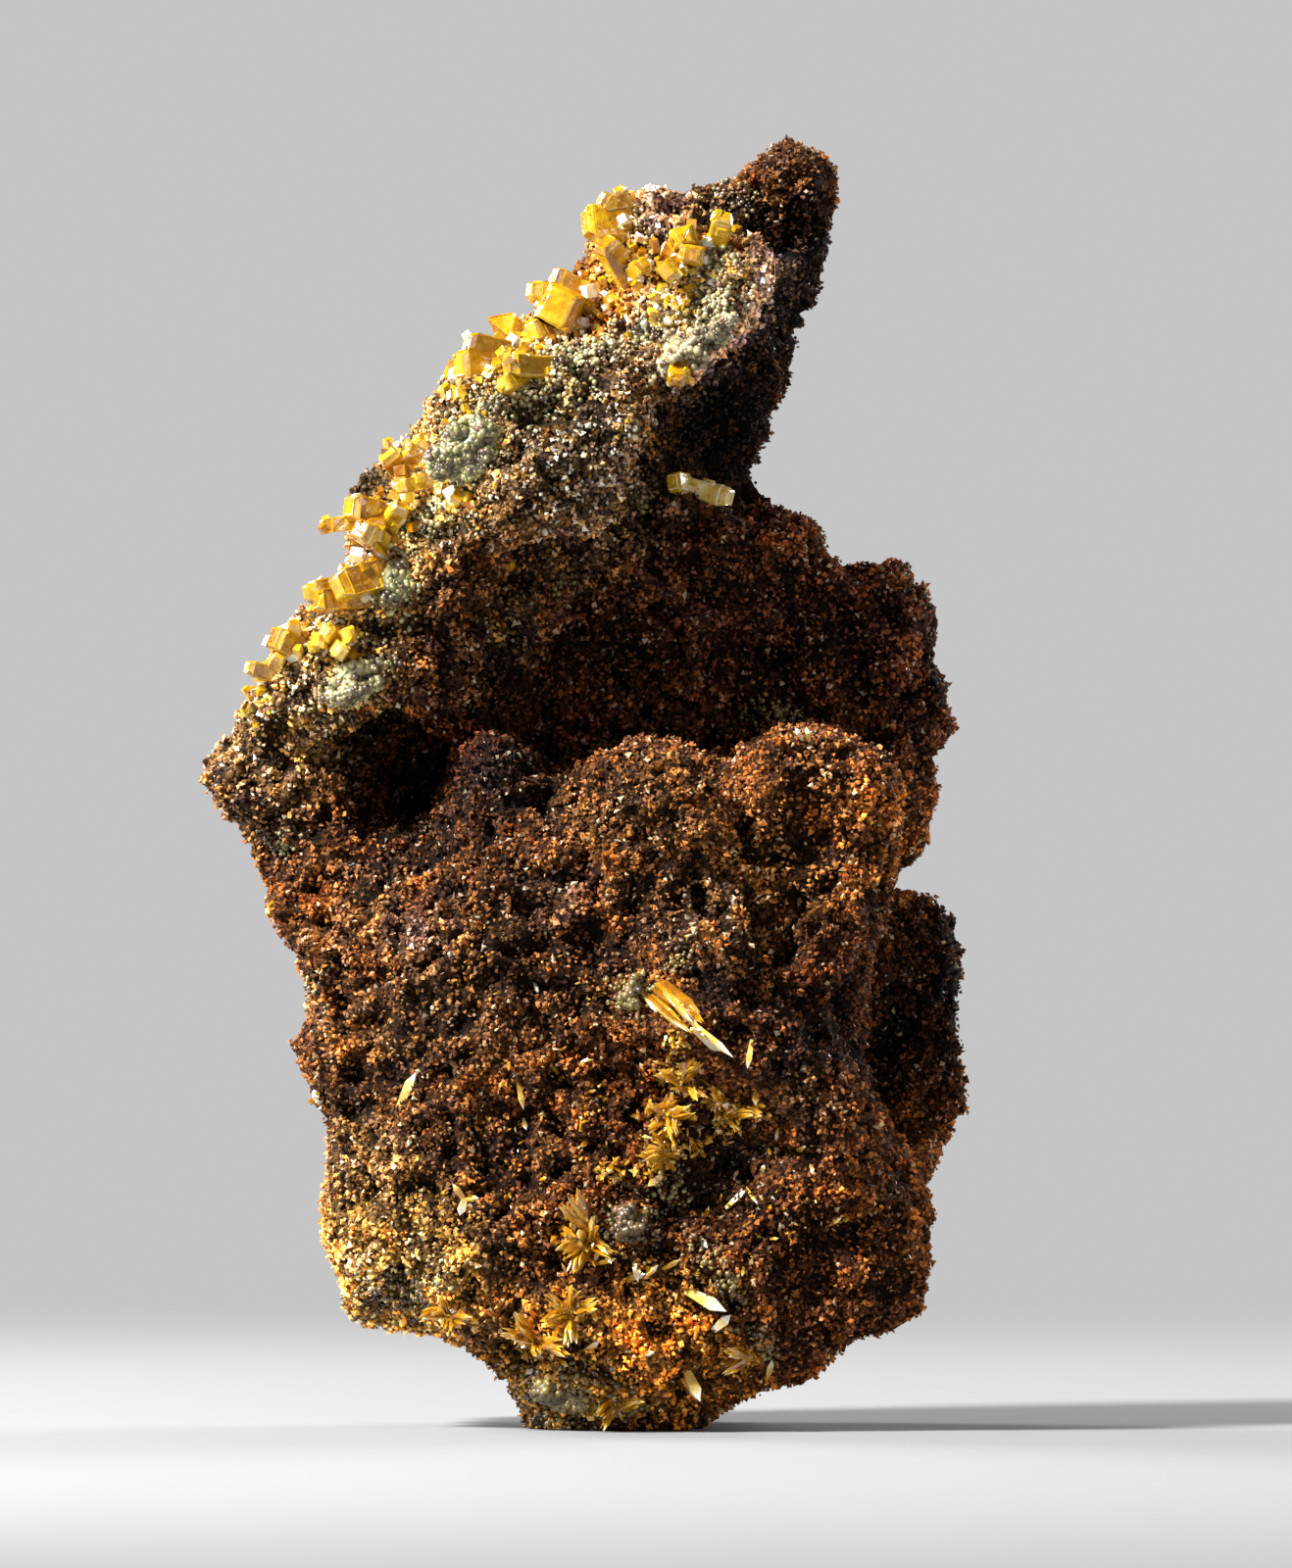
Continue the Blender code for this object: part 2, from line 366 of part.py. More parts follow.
FRONT_CRYSTALS = {
    "wulfenite_top_wedge": [
        prism((1.6, 140.2), (-3.6, 140.1), 0.6, 3.8, 2.6, 15),
        prism((1.2, 141.2), (-1.7, 143.0), 0.8, 1.9, 1.5),
        prism((1.4, 141.6), (0.3, 144.1), 0.6, 1.5, 1.3)],
    "wulfenite_shelf_left_prism": [
        prism((1.4, 133.2), (-1.2, 137.9), 1.8, 2.8, 2.2, 20),
        prism((1.2, 133.6), (3.4, 135.4), 1.2, 1.6, 1.3)],
    "wulfenite_big_blocks": [
        prism((-5.6, 129.6), (-6.8, 130.4), 4.2, 4.8, 4.4, 8),
        prism((-4.8, 131.6), (-10.0, 132.3), 1.6, 2.2, 2.0),
        prism((-3.0, 131.6), (-7.2, 134.0), 1.0, 2.3, 1.8, 12),
        prism((-5.8, 129.0), (-9.6, 127.4), 2.4, 3.0, 2.4)],
    "wulfenite_left_wedge": [blade((-10.6, 127.0), (-14.8, 129.0), 1.2, 3.2, 2.2, 30)],
    "wulfenite_left_tablets_upper": [
        prism((-12.6, 124.9), (-17.3, 126.0), 1.4, 2.5, 1.9, 10),
        prism((-13.2, 123.9), (-18.2, 123.4), 2.2, 3.4, 2.2)],
    "wulfenite_lying_prisms": [
        prism((-7.6, 123.0), (-12.6, 123.2), 2.6, 2.4, 2.0, 10),
        prism((-10.6, 122.4), (-12.8, 120.9), 2.4, 2.2, 1.8)],
    "wulfenite_ridge_slanted_pair": [
        prism((-24.9, 111.2), (-22.0, 115.0), 1.4, 1.9, 1.6, 15),
        prism((-24.8, 111.0), (-26.5, 113.2), 1.0, 2.4, 1.6)],
    "wulfenite_ridge_lying_prism": [prism((-20.2, 110.3), (-25.2, 109.2), 1.5, 1.7, 1.5)],
    "wulfenite_left_ridge_cluster": [
        prism((-27.4, 106.2), (-30.9, 107.0), 1.6, 2.8, 2.4, 8),
        prism((-27.8, 105.3), (-34.0, 104.8), 0.8, 1.7, 1.5),
        prism((-26.4, 102.2), (-29.6, 104.4), 2.2, 2.4, 2.2, 12),
        prism((-27.0, 104.0), (-24.6, 107.2), 1.8, 2.1, 1.4, 25),
        prism((-27.6, 105.6), (-27.8, 103.6), 2.6, 2.2, 2.0)],
    "wulfenite_long_prisms": [
        prism((-26.9, 99.1), (-32.2, 97.6), 1.4, 3.3, 2.8, 12),
        prism((-30.2, 98.0), (-35.8, 97.0), 1.2, 2.3, 2.1),
        prism((-29.0, 96.4), (-35.0, 96.0), 0.4, 2.4, 2.2, 10)],
    "wulfenite_glinting_tablets": [
        prism((-32.8, 91.6), (-33.6, 92.6), 2.2, 1.8, 1.6, 15),
        prism((-32.8, 91.4), (-34.8, 91.6), 1.2, 1.8, 1.5),
        prism((-32.4, 91.4), (-31.6, 89.9), 2.0, 1.8, 1.5, 30),
        prism((-32.4, 91.6), (-30.4, 92.4), 1.4, 1.7, 1.3)],
    "wulfenite_left_edge_block": [
        prism((-36.8, 90.6), (-39.6, 92.0), 1.2, 2.6, 2.3, 8),
        prism((-37.2, 91.0), (-37.2, 93.6), 1.0, 1.6, 1.4)],
    "wulfenite_left_edge_tablets": [
        prism((-39.4, 87.6), (-42.7, 88.4), 0.8, 1.7, 1.4),
        prism((-39.8, 87.7), (-38.8, 89.8), 0.8, 1.4, 1.2)],
    "wulfenite_shelf_blocks": [
        prism((8.2, 137.8), (7.8, 138.4), 2.6, 2.8, 2.3, 15),
        prism((8.6, 136.0), (8.9, 136.3), 3.0, 2.9, 2.2, -10),
        prism((8.0, 135.2), (5.8, 134.2), 2.2, 2.3, 1.8, 20)],
    "wulfenite_shelf_upright_prism": [prism((11.7, 137.6), (12.6, 140.9), 1.6, 2.2, 1.6, 5)],
    "wulfenite_under_shelf_prism": [prism((7.8, 124.2), (6.9, 121.4), 1.4, 2.0, 1.8, 10)],
    "wulfenite_pale_prism": [
        prism((8.0, 110.0), (13.4, 108.2), 1.2, 2.2, 1.8, 10),
        prism((8.8, 109.8), (6.6, 110.2), 1.4, 2.2, 1.6, 20)],
    "wulfenite_large_blades": [
        blade((5.0, 52.4), (13.9, 43.2), 2.6, 2.8, 1.9, 35),
        blade((3.2, 50.6), (10.6, 45.6), 1.6, 2.2, 1.6, 40),
        prism((4.4, 51.0), (5.6, 49.8), 1.0, 2.2, 1.6)],
    "wulfenite_branching_crust_left": [
        blade((8.2, 40.4), (4.4, 42.0), 1.8, 1.8, 1.5), blade((8.0, 40.2), (9.6, 43.2), 1.6, 1.7, 1.4),
        blade((7.8, 40.6), (10.3, 38.9), 1.6, 1.8, 1.5)],
    "wulfenite_branching_crust_right": [
        blade((12.6, 37.6), (16.9, 37.0), 1.8, 2.0, 1.6),
        blade((12.8, 37.8), (13.8, 34.8), 1.8, 1.7, 1.4),
        blade((12.8, 37.4), (11.8, 40.0), 1.6, 1.6, 1.3)],
    "wulfenite_rosette_right": rosette((6.1, 36.4), 2.7, 1.8, 1.6, 1.3, (15, 80, 150, 215, 285)),
    "wulfenite_fan": [
        blade((8.8, 33.4), (4.0, 30.2), 1.4, 1.7, 1.3), blade((6.4, 31.6), (3.9, 33.6), 1.4, 1.6, 1.3),
        blade((6.6, 31.8), (2.6, 31.8), 1.4, 1.4, 1.2)],
    "wulfenite_tall_rosette": [
        blade((-2.7, 23.3), (-5.2, 27.9), 1.6, 1.9, 1.4),
        blade((-2.8, 23.2), (-6.5, 26.2), 1.6, 1.7, 1.3),
        blade((-2.6, 22.6), (-5.0, 18.3), 2.2, 2.1, 1.5),
        blade((-2.8, 22.4), (-6.7, 21.0), 1.4, 1.4, 1.1),
        prism((-2.4, 22.6), (-3.5, 23.6), 3.2, 3.0, 2.2, 25),
        blade((-2.6, 22.4), (0.2, 20.4), 1.8, 1.5, 1.2)],
    "wulfenite_star": rosette((-5.2, 13.8), 3.3, 2.0, 1.7, 1.4, (20, 85, 140, 200, 268)),
    "wulfenite_crossed_blades": [
        blade((-8.4, 11.2), (-11.4, 13.4), 1.6, 2.6, 1.6),
        blade((-9.6, 11.5), (-5.4, 9.8), 1.8, 1.3, 1.0),
        blade((-8.6, 8.6), (-12.8, 11.5), 1.8, 1.5, 1.2),
        prism((-9.2, 10.8), (-9.6, 10.0), 1.2, 2.6, 1.8, 20)],
    "wulfenite_foot_cluster": [
        prism((1.4, 3.8), (-2.9, 2.4), 1.6, 2.1, 1.7, 15),
        prism((-1.6, 2.8), (-0.9, 0.8), 1.6, 1.3, 1.1),
        blade((0.4, 3.7), (3.2, 3.6), 1.6, 1.5, 1.2)],
    "wulfenite_right_fan": [
        blade((16.7, 9.4), (12.8, 6.8), 1.6, 1.6, 1.2), blade((16.6, 9.3), (12.4, 9.9), 1.6, 1.3, 1.0)],
    "wulfenite_corner_cluster": [
        prism((-19.4, 13.6), (-21.2, 15.2), 1.8, 1.7, 1.3, 15),
        prism((-19.4, 13.6), (-17.0, 12.4), 1.8, 1.7, 1.3, -15),
        prism((-19.5, 13.7), (-19.0, 11.4), 1.6, 1.6, 1.2),
        prism((-19.5, 13.6), (-22.6, 12.8), 1.4, 1.5, 1.2)],
}

# The display side: larger square tablets on edge, seen here in the same front view axes.

BACK_CRYSTALS = {
    "wulfenite_back_crown_tablet": [
        prism((12.0, 139.0), (10.6, 141.4), 5.0, 5.6, 2.0, 20),
        prism((12.4, 138.2), (15.2, 137.2), 4.0, 4.0, 1.8, -30)],
    "wulfenite_back_upper_group": [
        prism((3.0, 126.0), (1.0, 128.4), 6.0, 7.4, 2.6, 35),
        prism((3.4, 125.4), (6.2, 124.0), 5.0, 5.6, 2.2, -25),
        prism((2.4, 125.0), (-0.6, 122.8), 4.6, 4.4, 2.0, 60)],
    "wulfenite_back_neck_group": [
        prism((9.0, 110.0), (10.4, 112.0), 6.2, 7.8, 2.8, -20),
        prism((8.4, 109.6), (5.2, 108.0), 5.0, 5.2, 2.1, 50)],
    "wulfenite_back_main_group": [
        prism((-7.0, 93.0), (-9.0, 95.6), 7.0, 9.4, 3.2, 25),
        prism((-6.4, 92.4), (-2.4, 91.0), 6.0, 7.0, 2.6, -35),
        prism((-7.4, 92.0), (-10.6, 88.8), 5.6, 5.6, 2.3, 75),
        prism((-6.6, 93.4), (-4.4, 97.4), 4.8, 4.6, 2.0, 10)],
    "wulfenite_back_main_plate": [
        prism((16.0, 92.0), (18.2, 93.6), 6.6, 8.6, 2.9, 55),
        prism((16.4, 91.4), (15.0, 87.6), 5.2, 5.4, 2.2, -10)],
    "wulfenite_back_middle_group": [
        prism((2.0, 72.0), (0.0, 74.0), 6.2, 8.0, 2.8, -30),
        prism((2.6, 71.6), (6.4, 71.0), 5.4, 6.0, 2.4, 40),
        prism((1.8, 71.2), (-0.8, 68.2), 4.8, 4.8, 2.0, 80)],
    "wulfenite_back_flank_group": [
        prism((-20.0, 62.0), (-22.4, 63.8), 5.2, 6.8, 2.4, 20),
        prism((-19.6, 61.6), (-17.4, 58.8), 4.4, 4.6, 2.0, -40)],
    "wulfenite_back_lower_group": [
        prism((12.0, 46.0), (14.0, 48.2), 6.4, 8.4, 3.0, 30),
        prism((11.4, 45.6), (8.4, 44.4), 5.4, 5.8, 2.3, -50),
        prism((12.0, 45.2), (13.4, 41.8), 4.8, 4.8, 2.1, 5)],
    "wulfenite_back_low_left_plate": [prism((-16.0, 34.0), (-18.0, 35.8), 5.2, 7.2, 2.5, -25)],
    "wulfenite_back_foot_tablets": [
        prism((4.0, 26.0), (2.4, 28.0), 4.8, 5.8, 2.2, 45),
        prism((4.4, 25.6), (7.2, 24.6), 4.0, 4.4, 1.9, -15)],
}

# Mimetite crusts: pillows set into the rock, with the middle of the pillow (x, z), its half width and
# half height, how far it stands out, and its lean in the front view in degrees, in mm.

FRONT_CRUSTS = {
    "mimetite_ridge_crust": (-17.5, 113.5, 5.4, 4.0, 1.5, 40),
    "mimetite_shelf_crust": (9.5, 125.6, 6.2, 2.2, 1.2, 40),
    "mimetite_lower_ridge_crust": (-30.5, 86.5, 4.6, 2.6, 1.5, 32),
    "mimetite_left_ridge_crust": (-25.5, 97.6, 2.6, 3.6, 1.3, -20),
    "mimetite_central_crust": (2.0, 50.6, 2.3, 2.2, 1.5, 0),
    "mimetite_round_boss": (1.6, 24.2, 2.9, 2.5, 1.5, -15),
    "mimetite_foot_crust": (-6.0, 4.4, 4.6, 2.6, 1.3, 0),
}
BACK_CRUSTS = {
    "mimetite_back_middle_crust": (14.0, 78.5, 11.0, 6.0, 2.2, -15),
    "mimetite_back_lower_crust": (-6.0, 50.0, 10.0, 7.0, 2.2, 25),
}


class Rock:
    """Finds where the worked rock's surface stands behind a place in the front or back view."""

    def __init__(self, obj):
        bm = bmesh.new()
        bm.from_mesh(obj.data)
        self.tree = BVHTree.FromBMesh(bm)
        bm.free()

    def surface(self, place, facing):
        """The surface point and normal at (x, z); past the outline, those of the nearest rock."""
        start = metres(place[0], facing * 100, place[1])
        point, normal, _, _ = self.tree.ray_cast(start, Vector((0, -facing, 0)))
        if point is None:
            point, normal, _, _ = self.tree.find_nearest(metres(place[0], 0, place[1]))
            return point, normal, False
        return point, normal, True


def cluster_ends(rock, crystals, facing):
    """Root and tip of each crystal of a cluster: the roots sit in the rock at one depth, and each tip
    stands clear of the rock."""
    depths = [rock.surface(crystal["root"], facing)[0].y for crystal in crystals]
    seat = sum(depths) / len(depths)
    ends = []
    for crystal in crystals:
        root = metres(crystal["root"][0], 0, crystal["root"][1])
        root.y = seat - facing * ROOT_DEPTH
        tip = metres(crystal["tip"][0], 0, crystal["tip"][1])
        tip.y = seat + facing * crystal["toward"] * MM
        for share in CLEAR_OF_ROCK:
            place = root.lerp(tip, share) / MM
            below, _, over_rock = rock.surface((place.x, place.z), facing)
            if over_rock:
                least = below.y + facing * TIP_CLEARANCE * crystal["thick"] * MM
                rise = facing * (least - root.y) / share
                tip.y = root.y + facing * max(facing * (tip.y - root.y), rise)
        ends.append((root, tip))
    return ends


def add_crystal(bm, ends, crystal, grow):
    root, tip = ends
    axis = (tip - root).normalized()
    side = axis.cross(Vector((0, 1, 0)))
    side = side.normalized() if side.length > 0.2 else Vector((1, 0, 0))
    side = Matrix.Rotation(math.radians(crystal["turn"]), 3, axis) @ side
    across = axis.cross(side).normalized()
    side = across.cross(axis).normalized()
    root, tip = root - axis * grow, tip + axis * grow
    half_width = crystal["width"] * MM / 2 + grow
    half_thick = crystal["thick"] * MM / 2 + grow
    rings = []
    for share, size in crystal["profile"]:
        middle = root.lerp(tip, share)
        rings.append([bm.verts.new(middle + side * u * half_width * size + across * v * half_thick * size)
                      for u, v in ((1, 1), (-1, 1), (-1, -1), (1, -1))])
    faces = [bm.faces.new(reversed(rings[0])), bm.faces.new(rings[-1])]
    for ring, following in zip(rings, rings[1:]):
        for i in range(4):
            j = (i + 1) % 4
            faces.append(bm.faces.new((ring[i], ring[j], following[j], following[i])))
    bmesh.ops.recalc_face_normals(bm, faces=faces)


def is_closed(bm):
    return all(len(edge.link_faces) == 2 for edge in bm.edges) and len(list(islands_of(bm))) == 1


def welded(mesh):
    """A bmesh of the mesh without the very short edges that a Boolean leaves. What it moves stays well
    inside the gap round the pieces, and it goes no further than leaves the body closed."""
    for distance in SHORTEST_EDGES:
        bm = bmesh.new()
        bm.from_mesh(mesh)
        keep_largest_island(bm)
        bmesh.ops.triangulate(bm, faces=bm.faces)
        bmesh.ops.dissolve_degenerate(bm, dist=distance, edges=bm.edges)
        bmesh.ops.triangulate(bm, faces=bm.faces)
        if is_closed(bm):
            break
    return bm


def joined(meshes, name):
    """The meshes as one closed body, by Boolean unions."""
    first, *others = [new_object(name, mesh) for mesh in meshes]
    for other in others:
        union = first.modifiers.new("Join", "BOOLEAN")
        union.operation = "UNION"
        union.object = other
    mesh = evaluated_mesh(first)
    for other in others:
        bpy.data.objects.remove(other)
    return mesh_of(welded(mesh), name)


def cluster_mesh(name, crystals, ends):
    meshes = []
    for crystal, pair in zip(crystals, ends):
        bm = bmesh.new()
        add_crystal(bm, pair, crystal, 0)
        meshes.append(mesh_of(bm, name))
    return joined(meshes, name)


def socket_mesh(name, crystals, ends):
    """The hollow that a cluster grows in: the smallest convex form round its crystals and their gap."""
    bm = bmesh.new()
    for crystal, pair in zip(crystals, ends):
        add_crystal(bm, pair, crystal, GAP)
    if len(crystals) > 1:
        bmesh.ops.delete(bm, geom=bm.faces, context="FACES_ONLY")
        bmesh.ops.delete(bm, geom=bm.edges, context="EDGES_FACES")
        hull = bmesh.ops.convex_hull(bm, input=bm.verts)
        inside = [item for item in hull["geom_interior"] if isinstance(item, bmesh.types.BMVert)]
        bmesh.ops.delete(bm, geom=inside, context="VERTS")
        bmesh.ops.dissolve_limit(bm, angle_limit=math.radians(SOCKET_FLATNESS),
                                 verts=bm.verts, edges=bm.edges)
        bmesh.ops.recalc_face_normals(bm, faces=bm.faces)
    return mesh_of(bm, name + "_socket")


def crust_mesh(rock, name, crust, facing, grow):
    """A pillow with small swellings, flattened along the rock's normal and half sunk in the rock."""
    x, z, half_width, half_height, rise, lean = crust
    point, normal, _ = rock.surface((x, z), facing)
    normal = (normal + Vector((0, facing * 1.5, 0))).normalized()
    bm = bmesh.new()
    bmesh.ops.create_icosphere(bm, subdivisions=2, radius=1.0)
    for vert in bm.verts:
        vert.co *= 1 + 0.16 * noise.noise(vert.co * 2.2 + point * 900)
        vert.co = metres(vert.co.x * half_width, vert.co.y * (rise + CRUST_DEPTH), vert.co.z * half_height)
    lie = normal.to_track_quat("Y", "Z").to_matrix() @ Matrix.Rotation(math.radians(-lean * facing), 3, "Y")
    seat = Matrix.Translation(point - normal * CRUST_SINK)
    bmesh.ops.transform(bm, matrix=seat @ lie.to_4x4(), verts=bm.verts)
    bm.normal_update()
    for vert in bm.verts:
        vert.co += vert.normal * grow
    bmesh.ops.recalc_face_normals(bm, faces=bm.faces)
    return mesh_of(bm, name)


def principled(name, colour, roughness):
    material = bpy.data.materials.new(name)
    material.use_nodes = True
    shader = material.node_tree.nodes["Principled BSDF"]
    shader.inputs["Base Color"].default_value = (*colour, 1)
    shader.inputs["Roughness"].default_value = roughness
    material.diffuse_color = (*colour, 1)
    return material


def cut_sockets(obj, cutters):
    """Cuts a socket for each piece that grows in this one, and keeps the single body that is left."""
    cut = obj.modifiers.new("Sockets", "BOOLEAN")
    cut.operation = "DIFFERENCE"
    cut.operand_type = "COLLECTION"
    cut.collection = cutters
    name = obj.name
    return new_object(name, mesh_of(welded(evaluated_mesh(obj)), name))


def cutter_collection(name):
    collection = bpy.data.collections.new(name)
    bpy.context.scene.collection.children.link(collection)
    return collection


def add_cutter(name, mesh, collection):
    cutter = bpy.data.objects.new(name + "_socket", mesh)
    collection.objects.link(cutter)
    cutter.hide_render = True
    cutter.display_type = "WIRE"


def grow_crystals(rock, material, cutters):
    for clusters, facing in ((FRONT_CRYSTALS, -1), (BACK_CRYSTALS, 1)):
        for name, crystals in clusters.items():
            ends = cluster_ends(rock, crystals, facing)
            cluster = new_object(name, cluster_mesh(name, crystals, ends))
            cluster.data.materials.append(material)
            add_cutter(name, socket_mesh(name, crystals, ends), cutters)


def grow_crusts(rock, material, crystal_cutters, crust_cutters):
    for crusts, facing in ((FRONT_CRUSTS, -1), (BACK_CRUSTS, 1)):
        for name, crust in crusts.items():
            pillow = new_object(name, crust_mesh(rock, name, crust, facing, 0))
            pillow = cut_sockets(pillow, crystal_cutters)
            pillow.data.materials.append(material)
            add_cutter(name, crust_mesh(rock, name + "_socket", crust, facing, GAP), crust_cutters)


matrix = new_object("limonite_matrix", limonite_mesh())
worked_rock = Rock(matrix)
crystal_sockets = cutter_collection("crystal_sockets")
crust_sockets = cutter_collection("crust_sockets")
grow_crystals(worked_rock, principled("wulfenite", (0.83, 0.46, 0.04), 0.2), crystal_sockets)
grow_crusts(worked_rock, principled("mimetite", (0.52, 0.55, 0.24), 0.45), crystal_sockets, crust_sockets)
matrix = cut_sockets(matrix, crystal_sockets)
matrix = cut_sockets(matrix, crust_sockets)
matrix.data.materials.append(principled("limonite", (0.14, 0.075, 0.035), 0.9))
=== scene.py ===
"""Wulfenite on limonite with mimetite crusts: the finish of a cabinet specimen, seen from its matrix side."""

import math

import bmesh
import bpy
import numpy as np
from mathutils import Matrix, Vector, noise
from mathutils.bvhtree import BVHTree


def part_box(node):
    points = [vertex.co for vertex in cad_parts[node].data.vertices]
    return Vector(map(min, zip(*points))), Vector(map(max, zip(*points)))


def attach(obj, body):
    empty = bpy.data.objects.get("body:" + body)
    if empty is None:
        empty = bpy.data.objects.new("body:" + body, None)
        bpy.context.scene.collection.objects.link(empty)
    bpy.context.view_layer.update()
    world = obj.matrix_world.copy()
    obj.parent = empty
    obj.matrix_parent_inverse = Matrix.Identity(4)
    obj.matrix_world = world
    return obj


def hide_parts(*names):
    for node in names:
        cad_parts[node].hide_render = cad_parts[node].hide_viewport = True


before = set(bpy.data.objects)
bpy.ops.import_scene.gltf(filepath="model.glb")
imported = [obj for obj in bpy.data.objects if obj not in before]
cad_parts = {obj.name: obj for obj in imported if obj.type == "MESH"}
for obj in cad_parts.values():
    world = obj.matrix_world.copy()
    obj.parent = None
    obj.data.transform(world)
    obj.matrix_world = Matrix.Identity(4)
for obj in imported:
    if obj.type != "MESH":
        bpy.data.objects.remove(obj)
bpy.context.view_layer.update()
MM = 0.001

# Limonite matrix
#
# The real piece is a porous mass of iron oxides that weathered out of ore. It has rounded knobs with creases
# between them, small pits, and no polish at all. The fused form comes from the node, and the sockets that its
# crystals stand in are closed over, because crystals and rock grew together without a gap.

ROCK_GRID = 0.80 * MM  # spacing of the fine surface
SOCKET_REACH = 0.7 * MM  # how far round a crystal's hull the surface is drawn over
SOCKET_EASING = 160  # rounds of smoothing that stretch the surface over a socket
SWELL_WIDTH, SWELL_HEIGHT = 9.0, 2.0  # mm
LUMP_WIDTH, LUMP_HEIGHT = 3.4, 1.5
PIT_WIDTH, PIT_DEPTH = 3.0, 8.0
CRUMB_WIDTH, CRUMB_HEIGHT = 1.5, 1.1
DRIFT = 2.0  # mm by which the lumps wander, so that no two are alike
SINK = 1.1  # mm that the surface draws in all over, to leave room for the grains on it
HIGHEST, LOWEST = 0.1, -3.4  # mm that the surface may move out and in
LOWEST_BY_CRYSTALS = -0.3  # the same round the crystals, which the rock holds
BARE_EDGES = [[(18.4, 136.6), (18.7, 134.6), (18.5, 131.8), (16.4, 129.8), (14.4, 127.2), (12.4, 124.8),
               (10.0, 122.2), (8.4, 120.4)],
              [(3.2, 143.6), (4.6, 142.6), (5.8, 141.4), (7.6, 140.4)]]  # x, z; smooth purple-grey rims, mm
BARE_REACH = 1.0  # mm on either side of a rim
PLATE_FRONT, PLATE_BACK = -14.4, -2.0  # mm in y: the shelf's plate is flat up to its rim, and drops behind it
PLATE_EDGE = ((-0.9, -0.2, 2.4, 3.6), (0, 1, 1, 0))  # mm in from the rim, and how flat the plate is there


def linear(colour):
    """The linear colour of an sRGB hex value such as "8A6A45"."""
    shares = [int(colour[i:i + 2], 16) / 255 for i in (0, 2, 4)]
    return [s / 12.92 if s <= 0.04045 else ((s + 0.055) / 1.055) ** 2.4 for s in shares]


def node_copy(name):
    """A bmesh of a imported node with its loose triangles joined."""
    bm = bmesh.new()
    bm.from_mesh(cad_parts[name].data)
    bmesh.ops.remove_doubles(bm, verts=bm.verts, dist=0.001 * MM)
    return bm


def finished(mesh, name, material, smooth=False):
    """The mesh as a piece that rides with the specimen."""
    if smooth:
        mesh.shade_smooth()
    piece = bpy.data.objects.new(name, mesh)
    bpy.context.scene.collection.objects.link(piece)
    piece.data.materials.append(material)
    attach(piece, "root")
    return piece


def piece_of(bm, name, material, smooth=False):
    mesh = bpy.data.meshes.new(name)
    bm.to_mesh(mesh)
    bm.free()
    return finished(mesh, name, material, smooth)


def hull_of(name):
    bm = node_copy(name)
    hull = bmesh.ops.convex_hull(bm, input=bm.verts)
    inner = [item for item in hull["geom_interior"] if isinstance(item, bmesh.types.BMVert)]
    bmesh.ops.delete(bm, geom=inner, context="VERTS")
    bmesh.ops.recalc_face_normals(bm, faces=bm.faces)
    return bm


def remeshed(bm, spacing):
    mesh = bpy.data.meshes.new("rough")
    bm.to_mesh(mesh)
    bm.free()
    rough = bpy.data.objects.new("rough", mesh)
    bpy.context.scene.collection.objects.link(rough)
    remesh = rough.modifiers.new("Fine grid", "REMESH")
    remesh.mode = "VOXEL"
    remesh.voxel_size = spacing
    graph = bpy.context.evaluated_depsgraph_get()
    bm = bmesh.new()
    bm.from_mesh(bpy.data.meshes.new_from_object(rough.evaluated_get(graph)))
    bpy.data.objects.remove(rough)
    return bm


def close_sockets(bm, names):
    """Stretches the rock's surface over each socket, as a skin that its rim holds."""
    slack = set()
    bm.faces.ensure_lookup_table()
    tree = BVHTree.FromBMesh(bm)
    for name in names:
        hull = hull_of(name)
        inside = BVHTree.FromBMesh(hull)
        hull.free()
        low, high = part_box(name)
        middle = (Vector(low) + Vector(high)) / 2
        radius = (Vector(high) - Vector(low)).length / 2 + 2 * SOCKET_REACH
        for index in {item[2] for item in tree.find_nearest_range(middle, radius)}:
            for vert in bm.faces[index].verts:
                point, normal, _, _ = inside.find_nearest(vert.co)
                if (vert.co - point).dot(normal) < SOCKET_REACH:
                    slack.add(vert)
    slack = sorted(slack, key=lambda vert: vert.index)
    for _ in range(SOCKET_EASING):
        bmesh.ops.smooth_vert(bm, verts=slack, factor=1.0, use_axis_x=True, use_axis_y=True, use_axis_z=True)
    return set(slack)


def bareness(points, normals):
    """How bare of grains each place is, from 0 to 1: the rims of the shelf's plate are."""
    flat = points[:, (0, 2)] / MM
    nearest = np.full(len(points), 1e9)
    for edge in BARE_EDGES:
        for start, end in zip(np.array(edge), np.array(edge)[1:]):
            along = end - start
            share = np.clip((flat - start) @ along / (along @ along), 0, 1)
            nearest = np.minimum(nearest, np.linalg.norm(flat - start - share[:, None] * along, axis=1))
    front = np.clip(0.6 - normals[:, 1], 0, 1) * (points[:, 1] < -4 * MM)
    return front * np.clip(1.5 - nearest / BARE_REACH, 0, 1)


def plate_share(point):
    """How flat the shelf's plate is at a point by its right rim, from 0 to 1."""
    if not PLATE_FRONT < point.y < PLATE_BACK:
        return 0.0
    nearest, inward = 1e9, 0.0
    for start, end in zip(BARE_EDGES[0], BARE_EDGES[0][1:]):
        start, along = Vector(start), Vector(end) - Vector(start)
        offset = Vector((point.x, point.z)) - start
        share = min(1.0, max(0.0, offset.dot(along) / along.length_squared))
        distance = (offset - share * along).length
        if distance < nearest:
            nearest, inward = distance, math.copysign(distance, offset.cross(along))
    return float(np.interp(inward, *PLATE_EDGE))


def crumbs_at(place):
    """How far the rock's crumbs stand out at a place in mm, from about -1 to 1."""
    return noise.noise(place / CRUMB_WIDTH) + 0.5 * noise.noise(place / CRUMB_WIDTH * 2.3)


